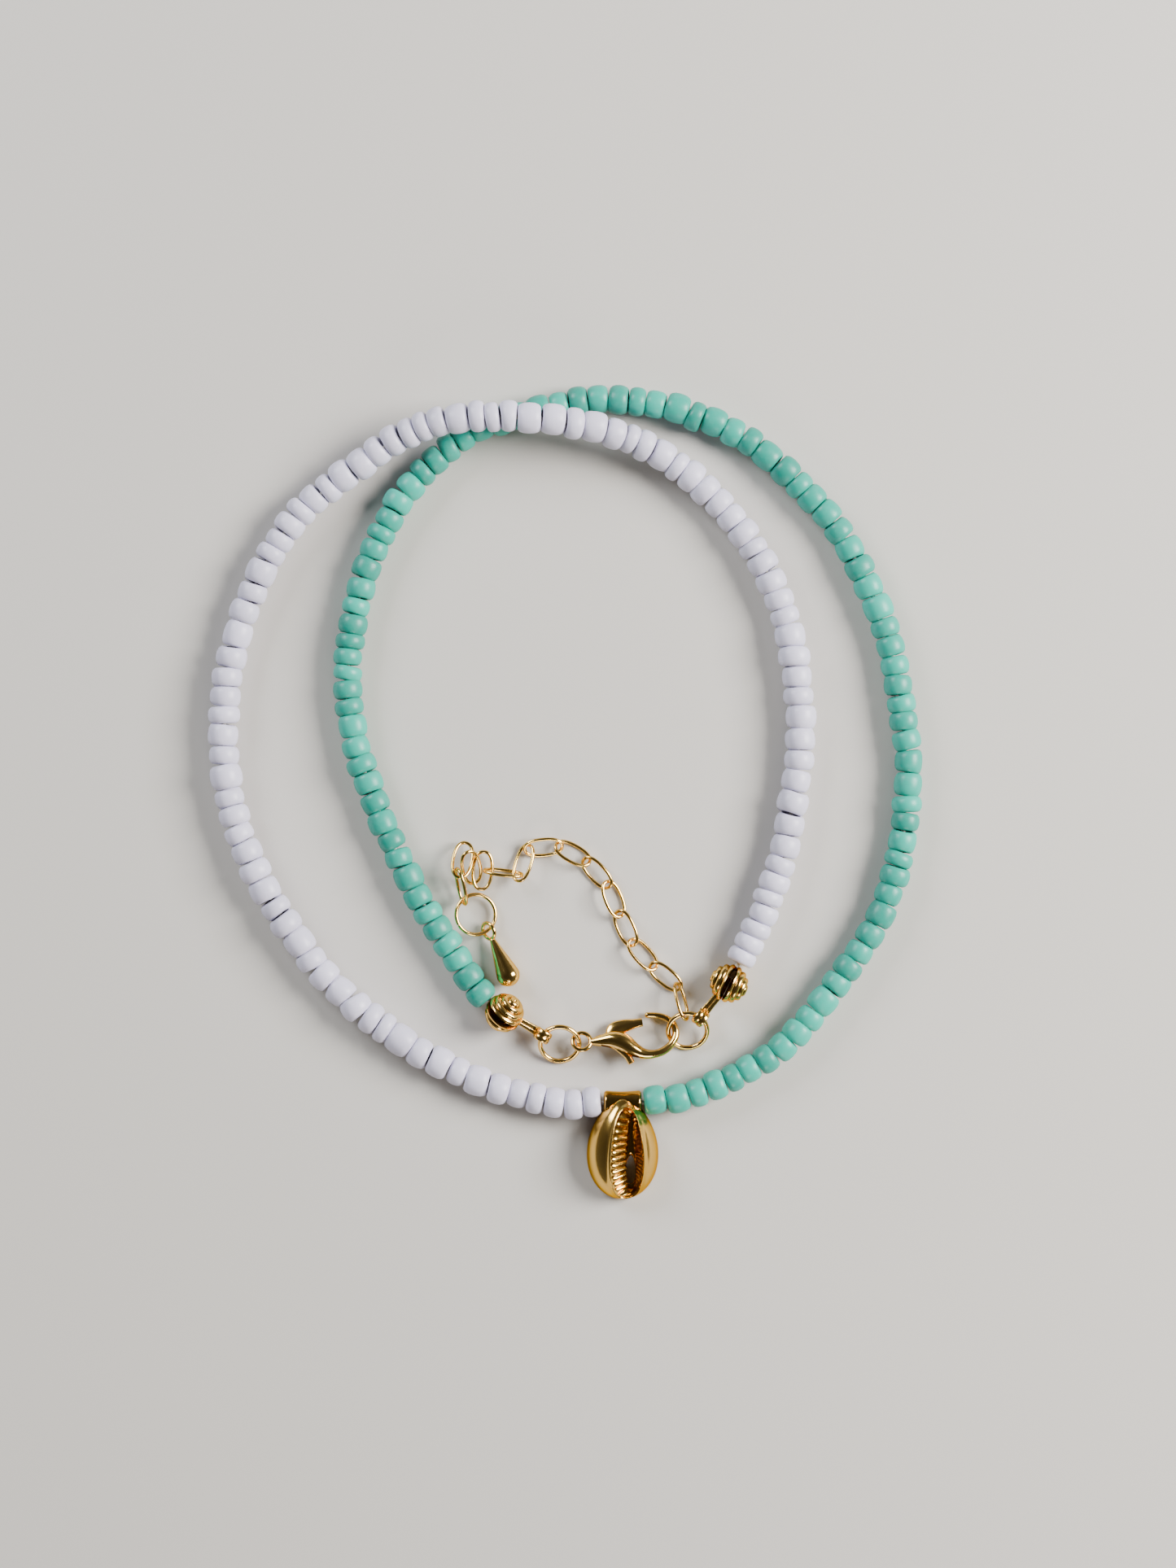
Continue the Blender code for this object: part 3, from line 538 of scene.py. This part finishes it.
def make_piece(name, shape, material, body, nodes=(), values=None, sharp=None):
    """A smooth mesh object with its material that rides on a body and stands for CAD nodes.
    values are numbers stored on the points, by name."""
    points, faces = shape
    mesh = bpy.data.meshes.new(name)
    mesh.from_pydata(points.tolist(), [], outward(points, faces))
    mesh.polygons.foreach_set("use_smooth", np.ones(len(mesh.polygons), bool))
    for key, numbers in (values or {}).items():
        mesh.attributes.new(key, "FLOAT", "POINT").data.foreach_set(
            "value", np.asarray(numbers, np.float32))
    if sharp is not None:
        mesh.set_sharp_from_angle(angle=np.radians(sharp))
    mesh.materials.append(material)
    mesh.update()
    piece = bpy.data.objects.new(name, mesh)
    bpy.context.scene.collection.objects.link(piece)
    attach(piece, body)
    if nodes:
        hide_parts(*nodes)
    return piece


def cut_away(piece, shape):
    """Takes a closed shape out of a piece."""
    points, faces = shape
    mesh = bpy.data.meshes.new("cutter")
    mesh.from_pydata(points.tolist(), [], outward(points, faces))
    cutter = bpy.data.objects.new("cutter", mesh)
    bpy.context.scene.collection.objects.link(cutter)
    cut = piece.modifiers.new("Cut", "BOOLEAN")
    cut.operation = "DIFFERENCE"
    cut.object = cutter
    finished = bpy.data.meshes.new_from_object(
        piece.evaluated_get(bpy.context.evaluated_depsgraph_get()))
    piece.modifiers.clear()
    piece.data = finished
    finished.set_sharp_from_angle(angle=np.radians(40))
    bpy.data.objects.remove(cutter)


def node_frame(node):
    """Middle of a CAD node and its axes from the longest to the shortest, as rows: the
    eigenvectors of its points' covariance, and half way between its ends along each."""
    mesh = frame["nodes"][node].data
    points = np.empty(len(mesh.vertices) * 3)
    mesh.vertices.foreach_get("co", points)
    points = points.reshape(-1, 3)
    axes = np.linalg.eigh(np.cov(points.T))[1][:, ::-1].T
    axes[2] = np.cross(axes[0], axes[1])
    if axes[2][2] < 0:
        axes[1:] *= -1
    places = points @ axes.T
    return (places.min(0) + places.max(0)) / 2 @ axes, axes, np.ptp(places, axis=0)


def turned(vectors, axis, degrees):
    """Vectors turned about an axis: v cos a + (k x v) sin a + k (k . v) (1 - cos a)."""
    a = np.radians(degrees)
    k = unit(np.asarray(axis, float))
    v = np.atleast_2d(vectors)
    out = v * np.cos(a) + np.cross(k, v) * np.sin(a) + np.outer(v @ k, k) * (1 - np.cos(a))
    return out.reshape(np.shape(vectors))


def string_line(cover, route, bail_side):
    """Centre line of a bead string from its knot cover to the bail. The string on the bail's left
    rises over the other one by lift * (1 + cos(pi * distance / reach)) / 2 of their crossing."""
    centre = np.array(cover) * MM
    route = np.column_stack([np.array(route) * MM, np.full(len(route), BEAD_HEIGHT)])
    out = route[0] - centre
    out[2] = 0
    start = centre + unit(out) * (COVER_BALL + SEAT_GAP)
    start[2] = BEAD_HEIGHT
    end = BAIL_CENTRE + np.array((bail_side * (BAIL_HALF + SEAT_GAP), 0, 0))
    line = smooth_line([start, *route, end], SPAN_STEPS)
    if bail_side < 0:
        distance = np.linalg.norm(line[:, :2] - CROSSING, axis=1)
        hump = (1 + np.cos(np.pi * np.minimum(distance / CROSSING_REACH, 1))) / 2
        line[:, 2] += CROSSING_LIFT * hump
    return line


def bead_string(line, diameter, length, hole, rng):
    """Every bead of a string, and a tone for each point. A bead is a ring whose section is a
    rounded rectangle: across = hole / 2 + half wall * (1 + c), along = half length * s, where c
    and s are sign(v) |v|^power of the cosine and the sine. Its length, diameter, corners, wedge,
    tilt and place vary a little from bead to bead, and a lump of cos 3u makes it uneven."""
    along = lengths_along(line)
    count = round(along[-1] / length)
    lengths = np.clip(rng.normal(1.0, LENGTH_SPREAD, count), *LENGTH_LIMITS)
    lengths *= along[-1] / lengths.sum()
    middle = np.cumsum(lengths) - lengths / 2
    radii = diameter / 2 * np.clip(rng.normal(1.0, DIAMETER_SPREAD, count), *DIAMETER_LIMITS)
    behind, centres, ahead = (
        np.stack([np.interp(middle + step, along, line[:, k]) for k in range(3)], axis=1)
        for step in (-TILT_STEP, 0, TILT_STEP))
    axis = unit(ahead - behind + rng.normal(0, TILT_SPREAD, (count, 3)) * TILT_SHARES)
    side = unit(np.cross(UP, axis))
    rise = np.cross(axis, side)
    centres += side * rng.normal(0, PLACE_SPREAD, (count, 1))
    centres[:, 2] = np.maximum(centres[:, 2], radii)
    u = full_turn(BEAD_SIDES)[None, :, None]
    v = full_turn(BEAD_ROWS)[None, None, :]
    power = rng.uniform(*CORNER_POWERS, count)[:, None, None]
    c, s = eased(np.cos(v), power), eased(np.sin(v), power)
    wall = (radii - hole / 2)[:, None, None] / 2
    wedge = 1 + rng.normal(0, WEDGE_SPREAD, count)[:, None, None] * np.cos(
        u - rng.uniform(0, 2 * np.pi, count)[:, None, None])
    lump = 1 + LUMP * np.cos(3 * u + rng.uniform(0, 2 * np.pi, count)[:, None, None])
    reach = (hole / 2 + wall + wall * c) * lump
    run = (lengths[:, None, None] * HALF_FILL) * s * wedge
    points = (centres[:, None, None] + reach[..., None] * (
        np.cos(u)[..., None] * side[:, None, None] + np.sin(u)[..., None] * rise[:, None, None])
        + run[..., None] * axis[:, None, None])
    faces = np.array(grid_faces(BEAD_SIDES, BEAD_ROWS, close_rows=True))
    offsets = np.arange(count)[:, None, None] * (BEAD_SIDES * BEAD_ROWS)
    tone = np.repeat(rng.uniform(0, 1, count), BEAD_SIDES * BEAD_ROWS)
    return points.reshape(-1, 3), (faces[None] + offsets).reshape(-1, 4).tolist(), tone


class BeadStrings(bpy.types.Operator):
    """Both bead strings and the thread that carries them"""

    bl_idname = "necklace.bead_strings"
    bl_label = "Bead strings"

    def execute(self, context):
        sizes, colours = context.scene.necklace_sizes, context.scene.necklace_finishes
        thread = thread_finish()
        strings = (
            ("turquoise", LEFT_COVER, TURQUOISE_ROUTE, 1, sizes.turquoise_diameter,
             glass_finish("turquoise_glass", colours.turquoise, 0.26, 0.10), "turquoise_glass"),
            ("white", RIGHT_COVER, WHITE_ROUTE[::-1], -1, sizes.white_diameter,
             glass_finish("white_glass", colours.white, 0.07, 0.05), "white_glass"),
        )
        for index, (colour, cover, route, side, diameter, finish, slot) in enumerate(strings):
            line = string_line(cover, route, side)
            rng = np.random.default_rng(sizes.bead_seed + index)
            points, faces, tone = bead_string(line, diameter, sizes.bead_length, sizes.bead_hole,
                                              rng)
            make_piece(f"{colour}_seed_beads", (points, faces), finish, BODY,
                       (f"{colour}_beads",), {"tone": tone})
            in_cover = np.array(cover) * MM * 0.75 + line[0] * 0.25
            in_bail = BAIL_CENTRE + RIGHT * side * 0.5 * MM
            path = even_line(np.vstack([in_cover, line[::SPAN_STEPS // 2], in_bail]), THREAD_ROWS)
            make_piece(f"{colour}_thread", tube(path, round_section(sizes.thread / 2, sides=8), UP),
                       thread, BODY)
        return {"FINISHED"}


def shell_surface(sizes):
    """The cast cowrie as one closed grid. Round the shell, every row is an egg curve, whose half
    width is sqrt(f (1 - f)) of its width with f = share^fullness. The rows go from the foot over
    the dome to the lips' rounded crest, down the toothed lips, along a trough to the hole, and back
    under all of it to the foot. The dome is as high as sqrt(1 - (x / half width)^2) of its height
    at each place, the crest adds a bead of exp(-(distance / reach)^2), and the teeth rise by
    2 |cos(pi y / pitch)|^0.8 - 1 of their height."""
    turn = full_turn(SHELL_SIDES)
    share = (1 - np.cos(turn)) / 2
    sign = np.where(turn <= np.pi, 1.0, -1.0)
    left = sign < 0

    def egg(at):
        fullness = np.clip(at, 0, 1) ** SHELL_FULLNESS
        return np.sqrt(np.clip(fullness * (1 - fullness), 0, None))

    def oval(centre, width, start, length, blunt=1.0):
        half = width / 2 * (2 * egg(share)) ** blunt
        return np.stack([centre + sign * half, -start - length * share], axis=1)

    def dome(place):
        half = np.maximum(egg(-place[..., 1] / sizes.shell_length), 1e-4)
        inside = 1 - (place[..., 0] / (half * sizes.shell_width)) ** 2
        return 2 * sizes.shell_height * half * np.sqrt(np.clip(inside, 0, None))

    def crest_bead(place):
        away = np.linalg.norm(place - crest, axis=1)
        return CREST_RISE * np.exp(-(away / CREST_REACH) ** 2)

    foot = oval(0, sizes.shell_width, 0, sizes.shell_length)
    crest, slot, hole = (oval(*curve) for curve in (SHELL_CREST, SHELL_SLOT, SHELL_HOLE))
    # Each row's share of painted shade: none on the dome, brown between the teeth, in the trough
    # and under the shell.
    rows, painted_shade = [], []
    for t in (1 - np.cos(np.linspace(0, np.pi, DOME_ROWS))) / 2:
        flat = foot + (crest - foot) * t
        rows.append(np.column_stack([flat, dome(flat) + crest_bead(flat) * min(t * 3, 1)]))
        painted_shade.append(np.zeros(SHELL_SIDES))
    crest_height = dome(crest)
    pitch = np.where(left, sizes.tooth_pitch, sizes.tooth_pitch * RIGHT_PITCH)
    ridge = 2 * np.abs(np.cos(np.pi * crest[:, 1] / pitch)) ** 0.8 - 1
    sides = np.clip(np.abs(np.sin(turn)) * 1.6, 0, 1) ** 2
    for q in np.linspace(0, 1, LIP_ROWS)[1:]:
        flat = crest + (slot - crest) * q
        strength = sides * np.clip((q - 0.06) * 4, 0, 1)
        height = (crest_height * (1 - LIP_DROP * q ** 1.2) + crest_bead(flat)
                  + ridge * strength * np.where(left, *TOOTH_HEIGHTS) * MM)
        inwards = (np.where(left, 1, -1) * ridge * strength * q ** 2
                   * np.where(left, *TOOTH_REACHES) * MM)
        flat[:, 0] += inwards
        rows.append(np.column_stack([flat, height]))
        # painted shade between the teeth, deepest in the hollows of the ridge
        painted_shade.append(np.clip(0.5 - 0.5 * ridge, 0, 1) * strength * 0.5)
    edge = rows[-1]
    lip = crest_height * (1 - LIP_DROP)
    trough = []
    for p in np.linspace(0, 1, TROUGH_ROWS)[1:]:
        flat = slot + (hole - slot) * p + (edge[:, :2] - slot) * (1 - p) ** 6
        height = (lip + (HOLE_HEIGHT - lip) * np.sin(np.pi / 2 * p) ** 0.8
                  + (edge[:, 2] - lip) * (1 - p) ** 6)
        trough.append(np.column_stack([flat, height]))
    rows += trough
    # painted shade along the trough down to the hole
    painted_shade += [np.full(SHELL_SIDES, 0.75)] * len(trough)
    rows += [row - SHELL_WALL * UP for row in (trough[-1], trough[6], trough[3], edge)]
    middle = crest + (slot - crest) * 0.5
    rows.append(np.column_stack([middle, crest_height * 0.62]))
    centre = np.array((0, -sizes.shell_length / 2))
    for t in (1 - np.cos(np.linspace(np.pi, 0, UNDER_ROWS))) / 2:
        flat = foot + (crest - foot) * t
        rows.append(np.column_stack([centre + (flat - centre) * (0.84, 0.9), dome(flat) * 0.8]))
    # painted shade on the inner wall and under the shell
    painted_shade += [np.full(SHELL_SIDES, 0.6)] * (len(rows) - len(painted_shade))
    grid = np.array(rows)
    faces = grid_faces(len(grid), SHELL_SIDES, close_rows=True)
    points = turned(grid.reshape(-1, 3), (1, 0, 0), SHELL_TILT) + SHELL_TOP
    return points, faces, np.array(painted_shade).ravel()


class CowriePendant(bpy.types.Operator):
    """The cast cowrie with its toothed lips, and the bail behind its top"""

    bl_idname = "necklace.cowrie"
    bl_label = "Cowrie pendant"

    def execute(self, context):
        sizes, colours = context.scene.necklace_sizes, context.scene.necklace_finishes
        points, faces, painted_shade = shell_surface(sizes)
        # painted shade: the cowrie's gold is made darker all over
        deep = tuple(np.array(colours.gold) * COWRIE_PAINTED_SHADE)
        cast = gold_finish("shaded_cast_gold", deep, colours.painted_recess_shade, 0.09)
        make_piece("cowrie_shell", (points, faces), cast, BODY, ("cowrie_pendant",),
                   {"painted_shade": painted_shade})
        ring = np.vstack([smooth_line(BAIL_PROFILE, steps=5), BAIL_BORE]) * MM
        turn = arc(0.0, 1.0, full_turn(BAIL_SIDES), RIGHT, np.cross(UP, RIGHT))
        grid = BAIL_CENTRE + ring[:, None, :1] * RIGHT + ring[:, None, 1:] * turn[None]
        bail = grid.reshape(-1, 3), grid_faces(len(ring), BAIL_SIDES, close_rows=True)
        # painted shade over the whole bail, which sits behind the shell's top
        make_piece("cowrie_bail", bail, cast, BODY,
                   values={"painted_shade": np.full(len(bail[0]), 0.35)})
        return {"FINISHED"}


def cover_cup(centre, axes, side):
    """One ribbed cup. At polar angle p from its pole, its outer radius is
    ball - rib depth * (1 - |sin(ribs * p)|^0.9), and its inside is a plain sphere. It ends at an
    eye shaped rim, which leaves a slit of slit angle * sin(u)^0.8 on top at angle u round it."""
    forward, across, rise = axes
    u = full_turn(CUP_SIDES)
    gap = SLIT_ANGLE * np.clip(np.sin(u), 0, 1) ** 0.8 + RIM_ANGLE
    share = np.linspace(0.0, 1.0, CUP_ROWS)[:, None]
    polar = np.maximum(share, 0.004) * (np.pi / 2 - gap[None])
    wave = np.abs(np.sin(CUP_RIBS * polar))
    outer = COVER_BALL - RIB_DEPTH * (1 - wave ** 0.9)
    # painted shade in the hollows between the ribs
    painted_shade = (1 - wave) ** 1.5 * 0.8
    inside = polar[::-8]
    inner = np.full_like(inside, COVER_BALL - CUP_WALL)
    polar = np.vstack([polar, inside])
    radius = np.vstack([outer, inner])
    # painted shade inside the cup
    painted_shade = np.vstack([painted_shade, np.full_like(inside, 0.6)])
    points = (centre + (radius * np.cos(polar))[..., None] * across * side
              + (radius * np.sin(polar))[..., None] * (
                  np.cos(u)[:, None] * forward + np.sin(u)[:, None] * rise))
    rows = len(points)
    faces = grid_faces(rows, CUP_SIDES) + end_caps(rows, CUP_SIDES)
    return (points.reshape(-1, 3), faces), painted_shade.ravel()


def cover_arm(centre, ring, sizes):
    """The cover's arm, carried out from the ball and curled round the ring's wire. Its section is
    half width * c by half thickness * sin v, where c is sign(v) |v|^0.6 of the cosine. A furrow of
    0.6 exp(-(c / 0.18)^2) parts it into two rounded strips, and it widens from 0.72 to 1."""
    ring_centre, ring_axes, _ = node_frame(ring)
    toward = ring_centre - centre
    back = np.arctan2(-toward[1], -toward[0])
    radius = (sizes.ring_diameter - sizes.jump_wire) / 2
    wire = arc(ring_centre, radius, np.array([back]), ring_axes[2], RIGHT)[0] - centre
    reach, height = np.hypot(wire[0], wire[1]), wire[2]
    forward = np.array((wire[0], wire[1], 0)) / reach
    curl = sizes.jump_wire / 2 + CURL_ROOM
    a = np.radians(np.linspace(*CURL_TURN, 24))
    path = np.vstack([np.array(ARM_ROOT) * MM, (reach - curl, height - curl),
                      np.column_stack([reach + curl * np.cos(a), height + curl * np.sin(a)])])
    path = even_line(smooth_line(path, steps=5), ARM_ROWS)
    line = centre + path[:, :1] * forward + path[:, 1:] * UP
    v = full_turn(ARM_SIDES)
    wide = eased(np.cos(v), 0.6)
    furrow = 0.6 * np.exp(-(wide / 0.18) ** 2)
    section = np.stack([ARM_HALF_THICKNESS * np.sin(v) * (1.0 - furrow), ARM_HALF_WIDTH * wide],
                       axis=1)
    taper = 0.72 + 0.28 * np.clip(np.linspace(-0.4, 1.6, ARM_ROWS), 0, 1)
    sections = section[None] * np.stack([np.ones(ARM_ROWS), taper], axis=1)[:, None]
    # painted shade along the furrow between the two strips
    painted_shade = np.tile(0.9 * np.exp(-(wide / 0.2) ** 2), ARM_ROWS)
    return tube(line, sections, np.cross(UP, forward)), painted_shade


class KnotCovers(bpy.types.Operator):
    """The ribbed knot covers at the ends of the bead strings"""

    bl_idname = "necklace.knot_covers"
    bl_label = "Knot covers"

    def execute(self, context):
        sizes, colours = context.scene.necklace_sizes, context.scene.necklace_finishes
        pressed = gold_finish("pressed_gold", colours.gold, colours.painted_recess_shade, 0.12)
        covers = (("left", LEFT_COVER, TURQUOISE_ROUTE[0], LEFT_COVER_ROLL),
                  ("right", RIGHT_COVER, WHITE_ROUTE[-1], RIGHT_COVER_ROLL))
        for name, place, route, roll in covers:
            centre = np.array(place) * MM
            forward = unit(np.array((route[0] * MM - centre[0], route[1] * MM - centre[1], 0)))
            across = turned(np.cross(UP, forward), forward, roll)
            axes = (forward, across, np.cross(forward, across))
            shapes, painted_shades = zip(cover_cup(centre, axes, 1), cover_cup(centre, axes, -1),
                                  cover_arm(centre, f"{name}_jump_ring", sizes))
            # each piece's painted shade, stored on the cover's points
            make_piece(f"{name}_ribbed_cover", joined(*shapes), pressed, BODY,
                       (f"{name}_knot_cover",), {"painted_shade": np.concatenate(painted_shades)}, sharp=50)
        return {"FINISHED"}


class WireRings(bpy.types.Operator):
    """The split jump rings and the chain's end ring"""

    bl_idname = "necklace.wire_rings"
    bl_label = "Rings"

    def execute(self, context):
        sizes, colours = context.scene.necklace_sizes, context.scene.necklace_finishes
        drawn = gold_finish("drawn_gold_wire", colours.gold, colours.painted_recess_shade, 0.11)
        rings = (("left_jump_ring", sizes.jump_wire, -110.0),
                 ("right_jump_ring", sizes.jump_wire, 20.0),
                 ("end_ring", sizes.end_wire, -150.0))
        half_gap = SPLIT_GAP / sizes.ring_diameter
        for node, wire, split in rings:
            centre, axes, _ = node_frame(node)
            normal = axes[2]
            side = unit(np.cross(np.cross(UP, RIGHT), normal))
            a = np.radians(split) + np.linspace(half_gap, 2 * np.pi - half_gap, 96)
            path = arc(centre, (sizes.ring_diameter - wire) / 2, a, normal, side)
            shape = tube(path, round_section(wire / 2, sides=16), normal)
            make_piece(f"{node}_wire", shape, drawn, BODY, (node,), sharp=60)
        return {"FINISHED"}


def clasp_frame():
    """The rivet's place and the clasp's axes along, across and up, from the lever's hinge."""
    hinge = frame["joints"][0]
    up = -np.array(hinge["axis"], float)
    return np.array(hinge["pos_m"], float), RIGHT, np.cross(up, RIGHT), up


class LobsterClasp(bpy.types.Operator):
    """The clasp's cast body with its eye and hook, and the lever"""

    bl_idname = "necklace.clasp"
    bl_label = "Lobster clasp"

    def execute(self, context):
        colours = context.scene.necklace_finishes
        cast = gold_finish("clasp_gold", colours.gold, colours.painted_recess_shade, 0.09)
        origin, along, across, up = axes = clasp_frame()
        self.hook_and_body(cast, *axes)
        pin = lathe(np.array(RIVET_PROFILE) * MM, 24, origin, up, along)
        make_piece("clasp_rivet_pin", pin, cast, BODY, ("clasp_rivet",), sharp=40)
        eye_centre = origin + (EYE_CENTRE[0] * along + EYE_CENTRE[1] * across) * CLASP_LENGTH
        eye_up = turned(up, along, EYE_ROLL)
        eye_path = arc(eye_centre, EYE_RADIUS, full_turn(60), eye_up, along)
        eye = tube(eye_path, round_section(EYE_WIRE_RADIUS, sides=16), eye_up, closed=True)
        make_piece("clasp_eye", eye, cast, BODY)
        self.lever(cast, *axes)
        return {"FINISHED"}

    def hook_and_body(self, cast, origin, along, across, up):
        """A round section carried from the eye round the hook to its tip, which is rounded: its
        radius is sqrt(1 - (1 - d)^2) of the line's, where d is the distance to the end in radii."""
        line = even_line(smooth_line(CLASP_LINE, steps=12) * CLASP_LENGTH, count=150)
        path = origin + line[:, :1] * along + line[:, 1:2] * across
        to_end = (lengths_along(path)[-1] - lengths_along(path)) / line[:, 2]
        radii = line[:, 2] * np.sqrt(np.clip(1 - np.clip(1 - to_end, 0, 1) ** 2, 0.01, 1))
        shape = tube(path, round_section(radii, 28, CLASP_FLAT), up)
        body = make_piece("clasp_hook_and_body", shape, cast, BODY, ("clasp_body",))
        cut_away(body, self.slot_shape(origin, along, across, up))

    def slot_shape(self, origin, along, across, up):
        """The slot that the lever swings in, a box between the clasp's two cheeks."""
        start, end, half = (share * CLASP_LENGTH for share in LEVER_SLOT)
        corners = np.array([(x, y, z) for z in (-SLOT_HALF_HEIGHT, SLOT_HALF_HEIGHT)
                            for x, y in ((start, -half), (end, -half), (end, half), (start, half))])
        faces = [[3, 2, 1, 0], [4, 5, 6, 7]] + [[k, (k + 1) % 4, (k + 1) % 4 + 4, k + 4]
                                               for k in range(4)]
        return origin + corners @ np.array((along, across, up)), faces

    def lever(self, cast, origin, along, across, up):
        """The lever, a wedge section carried from the thumb tab round the rivet to the blade's
        end: half width |cos a|^1.3, half thickness |sin a|^0.9."""
        line = even_line(smooth_line(LEVER_LINE, steps=10) * CLASP_LENGTH, LEVER_ROWS)
        path = origin + line[:, :1] * along + line[:, 1:2] * across
        a = full_turn(32)
        wedge = np.stack([eased(np.cos(a), 1.3), eased(np.sin(a), 0.9)], axis=1)
        halves = np.stack([line[:, 2], np.full(LEVER_ROWS, LEVER_HALF_THICKNESS)], axis=1)
        sections = wedge[None] * halves[:, None]
        lever = make_piece("clasp_lever_blade", tube(path, sections, up), cast, LEVER_BODY,
                           ("clasp_lever",), sharp=40)
        cut_away(lever, lathe(np.array(BORE_PROFILE) * MM, 24, origin, up, along))


class ExtenderChain(bpy.types.Operator):
    """The oval links of the extender chain"""

    bl_idname = "necklace.chain"
    bl_label = "Extender chain"

    def execute(self, context):
        sizes, colours = context.scene.necklace_sizes, context.scene.necklace_finishes
        drawn = gold_finish("chain_gold", colours.gold, colours.painted_recess_shade, 0.12)
        a = full_turn(56)
        half_length = (sizes.link_length - sizes.link_wire) / 2
        half_width = (sizes.link_width - sizes.link_wire) / 2
        oval = np.stack([eased(np.cos(a), LINK_POWER) * half_length,
                         eased(np.sin(a), LINK_POWER) * half_width], axis=1)
        for node in sorted(name for name in frame["nodes"] if name.startswith("chain_link")):
            centre, axes, _ = node_frame(node)
            path = centre + oval @ axes[:2]
            shape = tube(path, round_section(sizes.link_wire / 2, sides=12), axes[2], closed=True)
            make_piece(f"{node}_wire", shape, drawn, BODY, (node,))
        return {"FINISHED"}


class DropCharm(bpy.types.Operator):
    """The teardrop charm and its eye"""

    bl_idname = "necklace.drop"
    bl_label = "Teardrop charm"

    def execute(self, context):
        colours = context.scene.necklace_finishes
        cast = gold_finish("drop_gold", colours.gold, colours.painted_recess_shade, 0.08)
        centre, axes, extent = node_frame("drop_charm")
        ring = node_frame("end_ring")[0]
        axis = axes[0] if (ring - centre) @ axes[0] < 0 else -axes[0]
        start = centre - axis * extent[0] / 2
        side = unit(np.cross(axis, UP))
        eye = start + axis * (DROP_EYE_RADIUS + DROP_EYE_WIRE_RADIUS)
        profile = smooth_line(np.array(DROP_SECTIONS) * (DROP_LENGTH, DROP_RADIUS), steps=6)
        profile = np.vstack([(0, 0), np.clip(profile, 0, None)])
        drop = lathe(profile, 40, eye + axis * DROP_EYE_RADIUS, axis, side)
        face = turned(np.cross(side, axis), axis, DROP_EYE_ROLL)
        path = arc(eye, DROP_EYE_RADIUS, full_turn(48), face, axis)
        loop = tube(path, round_section(DROP_EYE_WIRE_RADIUS, sides=14), face, closed=True)
        make_piece("teardrop", joined(drop, loop), cast, BODY, ("drop_charm",))
        return {"FINISHED"}


class Stage(bpy.types.Operator):
    """Plain pale floor, soft light from a window's side and the camera straight above"""

    bl_idname = "necklace.stage"
    bl_label = "Stage"

    def execute(self, context):
        finish = Finish("pale_floor").set(Base_Color=(*context.scene.necklace_finishes.floor, 1),
                                          Roughness=0.9, Specular_IOR_Level=0.1)
        mesh = bpy.data.meshes.new("floor")
        corners = ((-1, -1), (1, -1), (1, 1), (-1, 1))
        mesh.from_pydata([(x * FLOOR_HALF, y * FLOOR_HALF, FLOOR_HEIGHT) for x, y in corners], [],
                         [(0, 1, 2, 3)])
        mesh.materials.append(finish.material)
        floor = bpy.data.objects.new("floor", mesh)
        context.scene.collection.objects.link(floor)
        for name, place, size, power, colour in LIGHTS:
            data = bpy.data.lights.new(name, "AREA")
            data.size, data.energy, data.color = size, power, colour
            light = bpy.data.objects.new(name, data)
            light.location = place
            light.rotation_mode = "QUATERNION"
            light.rotation_quaternion = (-Vector(place)).to_track_quat("-Z", "Y")
            context.scene.collection.objects.link(light)
        self.light_room(context.scene)
        data = bpy.data.cameras.new("above")
        camera = bpy.data.objects.new("above", data)
        camera.location = VIEW_MIDDLE + CAMERA_HEIGHT * UP
        data.sensor_width = 36.0
        data.lens = data.sensor_width * CAMERA_HEIGHT / VIEW_LENGTH
        data.clip_start, data.clip_end = 0.01, 5.0
        context.scene.collection.objects.link(camera)
        context.scene.camera = camera
        return {"FINISHED"}

    def light_room(self, scene):
        """A room that is dim overhead and lighter at the walls, for the gold to reflect."""
        scene.world = bpy.data.worlds.new("room")
        room = NodeMaker(scene.world)
        direction = room.add("ShaderNodeTexCoord", {}, out="Generated")
        height = room.add("ShaderNodeSeparateXYZ", {}, direction, out="Z")
        shade = room.add("ShaderNodeValToRGB", {"stops": ROOM_STOPS}, height)
        background = room.nodes["Background"]
        room.put(shade, background.inputs["Color"])
        room.put(ROOM_STRENGTH, background.inputs["Strength"])


class NecklacePanel(bpy.types.Panel):
    """Lists the necklace's sizes, colours and pieces"""

    bl_idname = "VIEW3D_PT_necklace"
    bl_label = "Necklace"
    bl_space_type = "VIEW_3D"
    bl_region_type = "UI"
    bl_category = "Necklace"

    def draw(self, context):
        for group in (context.scene.necklace_sizes, context.scene.necklace_finishes):
            for key in group.__annotations__:
                self.layout.prop(group, key)
        for operator in OPERATORS:
            self.layout.operator(operator.bl_idname)


OPERATORS = (BeadStrings, CowriePendant, KnotCovers, WireRings, LobsterClasp, ExtenderChain,
             DropCharm, Stage)
CLASSES = (NecklaceSizes, NecklaceFinishes, *OPERATORS, NecklacePanel)


def register():
    """Adds the classes and the scene's settings."""
    for cls in CLASSES:
        bpy.utils.register_class(cls)
    bpy.types.Scene.necklace_sizes = PointerProperty(type=NecklaceSizes)
    bpy.types.Scene.necklace_finishes = PointerProperty(type=NecklaceFinishes)


def unregister():
    """Removes them again."""
    del bpy.types.Scene.necklace_finishes
    del bpy.types.Scene.necklace_sizes
    for cls in reversed(CLASSES):
        bpy.utils.unregister_class(cls)


def main():
    """Registers the add-on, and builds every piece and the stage."""
    register()
    bpy.ops.necklace.bead_strings()
    bpy.ops.necklace.cowrie()
    bpy.ops.necklace.knot_covers()
    bpy.ops.necklace.wire_rings()
    bpy.ops.necklace.clasp()
    bpy.ops.necklace.chain()
    bpy.ops.necklace.drop()
    bpy.ops.necklace.stage()
    bpy.context.view_layer.update()


if __name__ == "__main__":
    main()
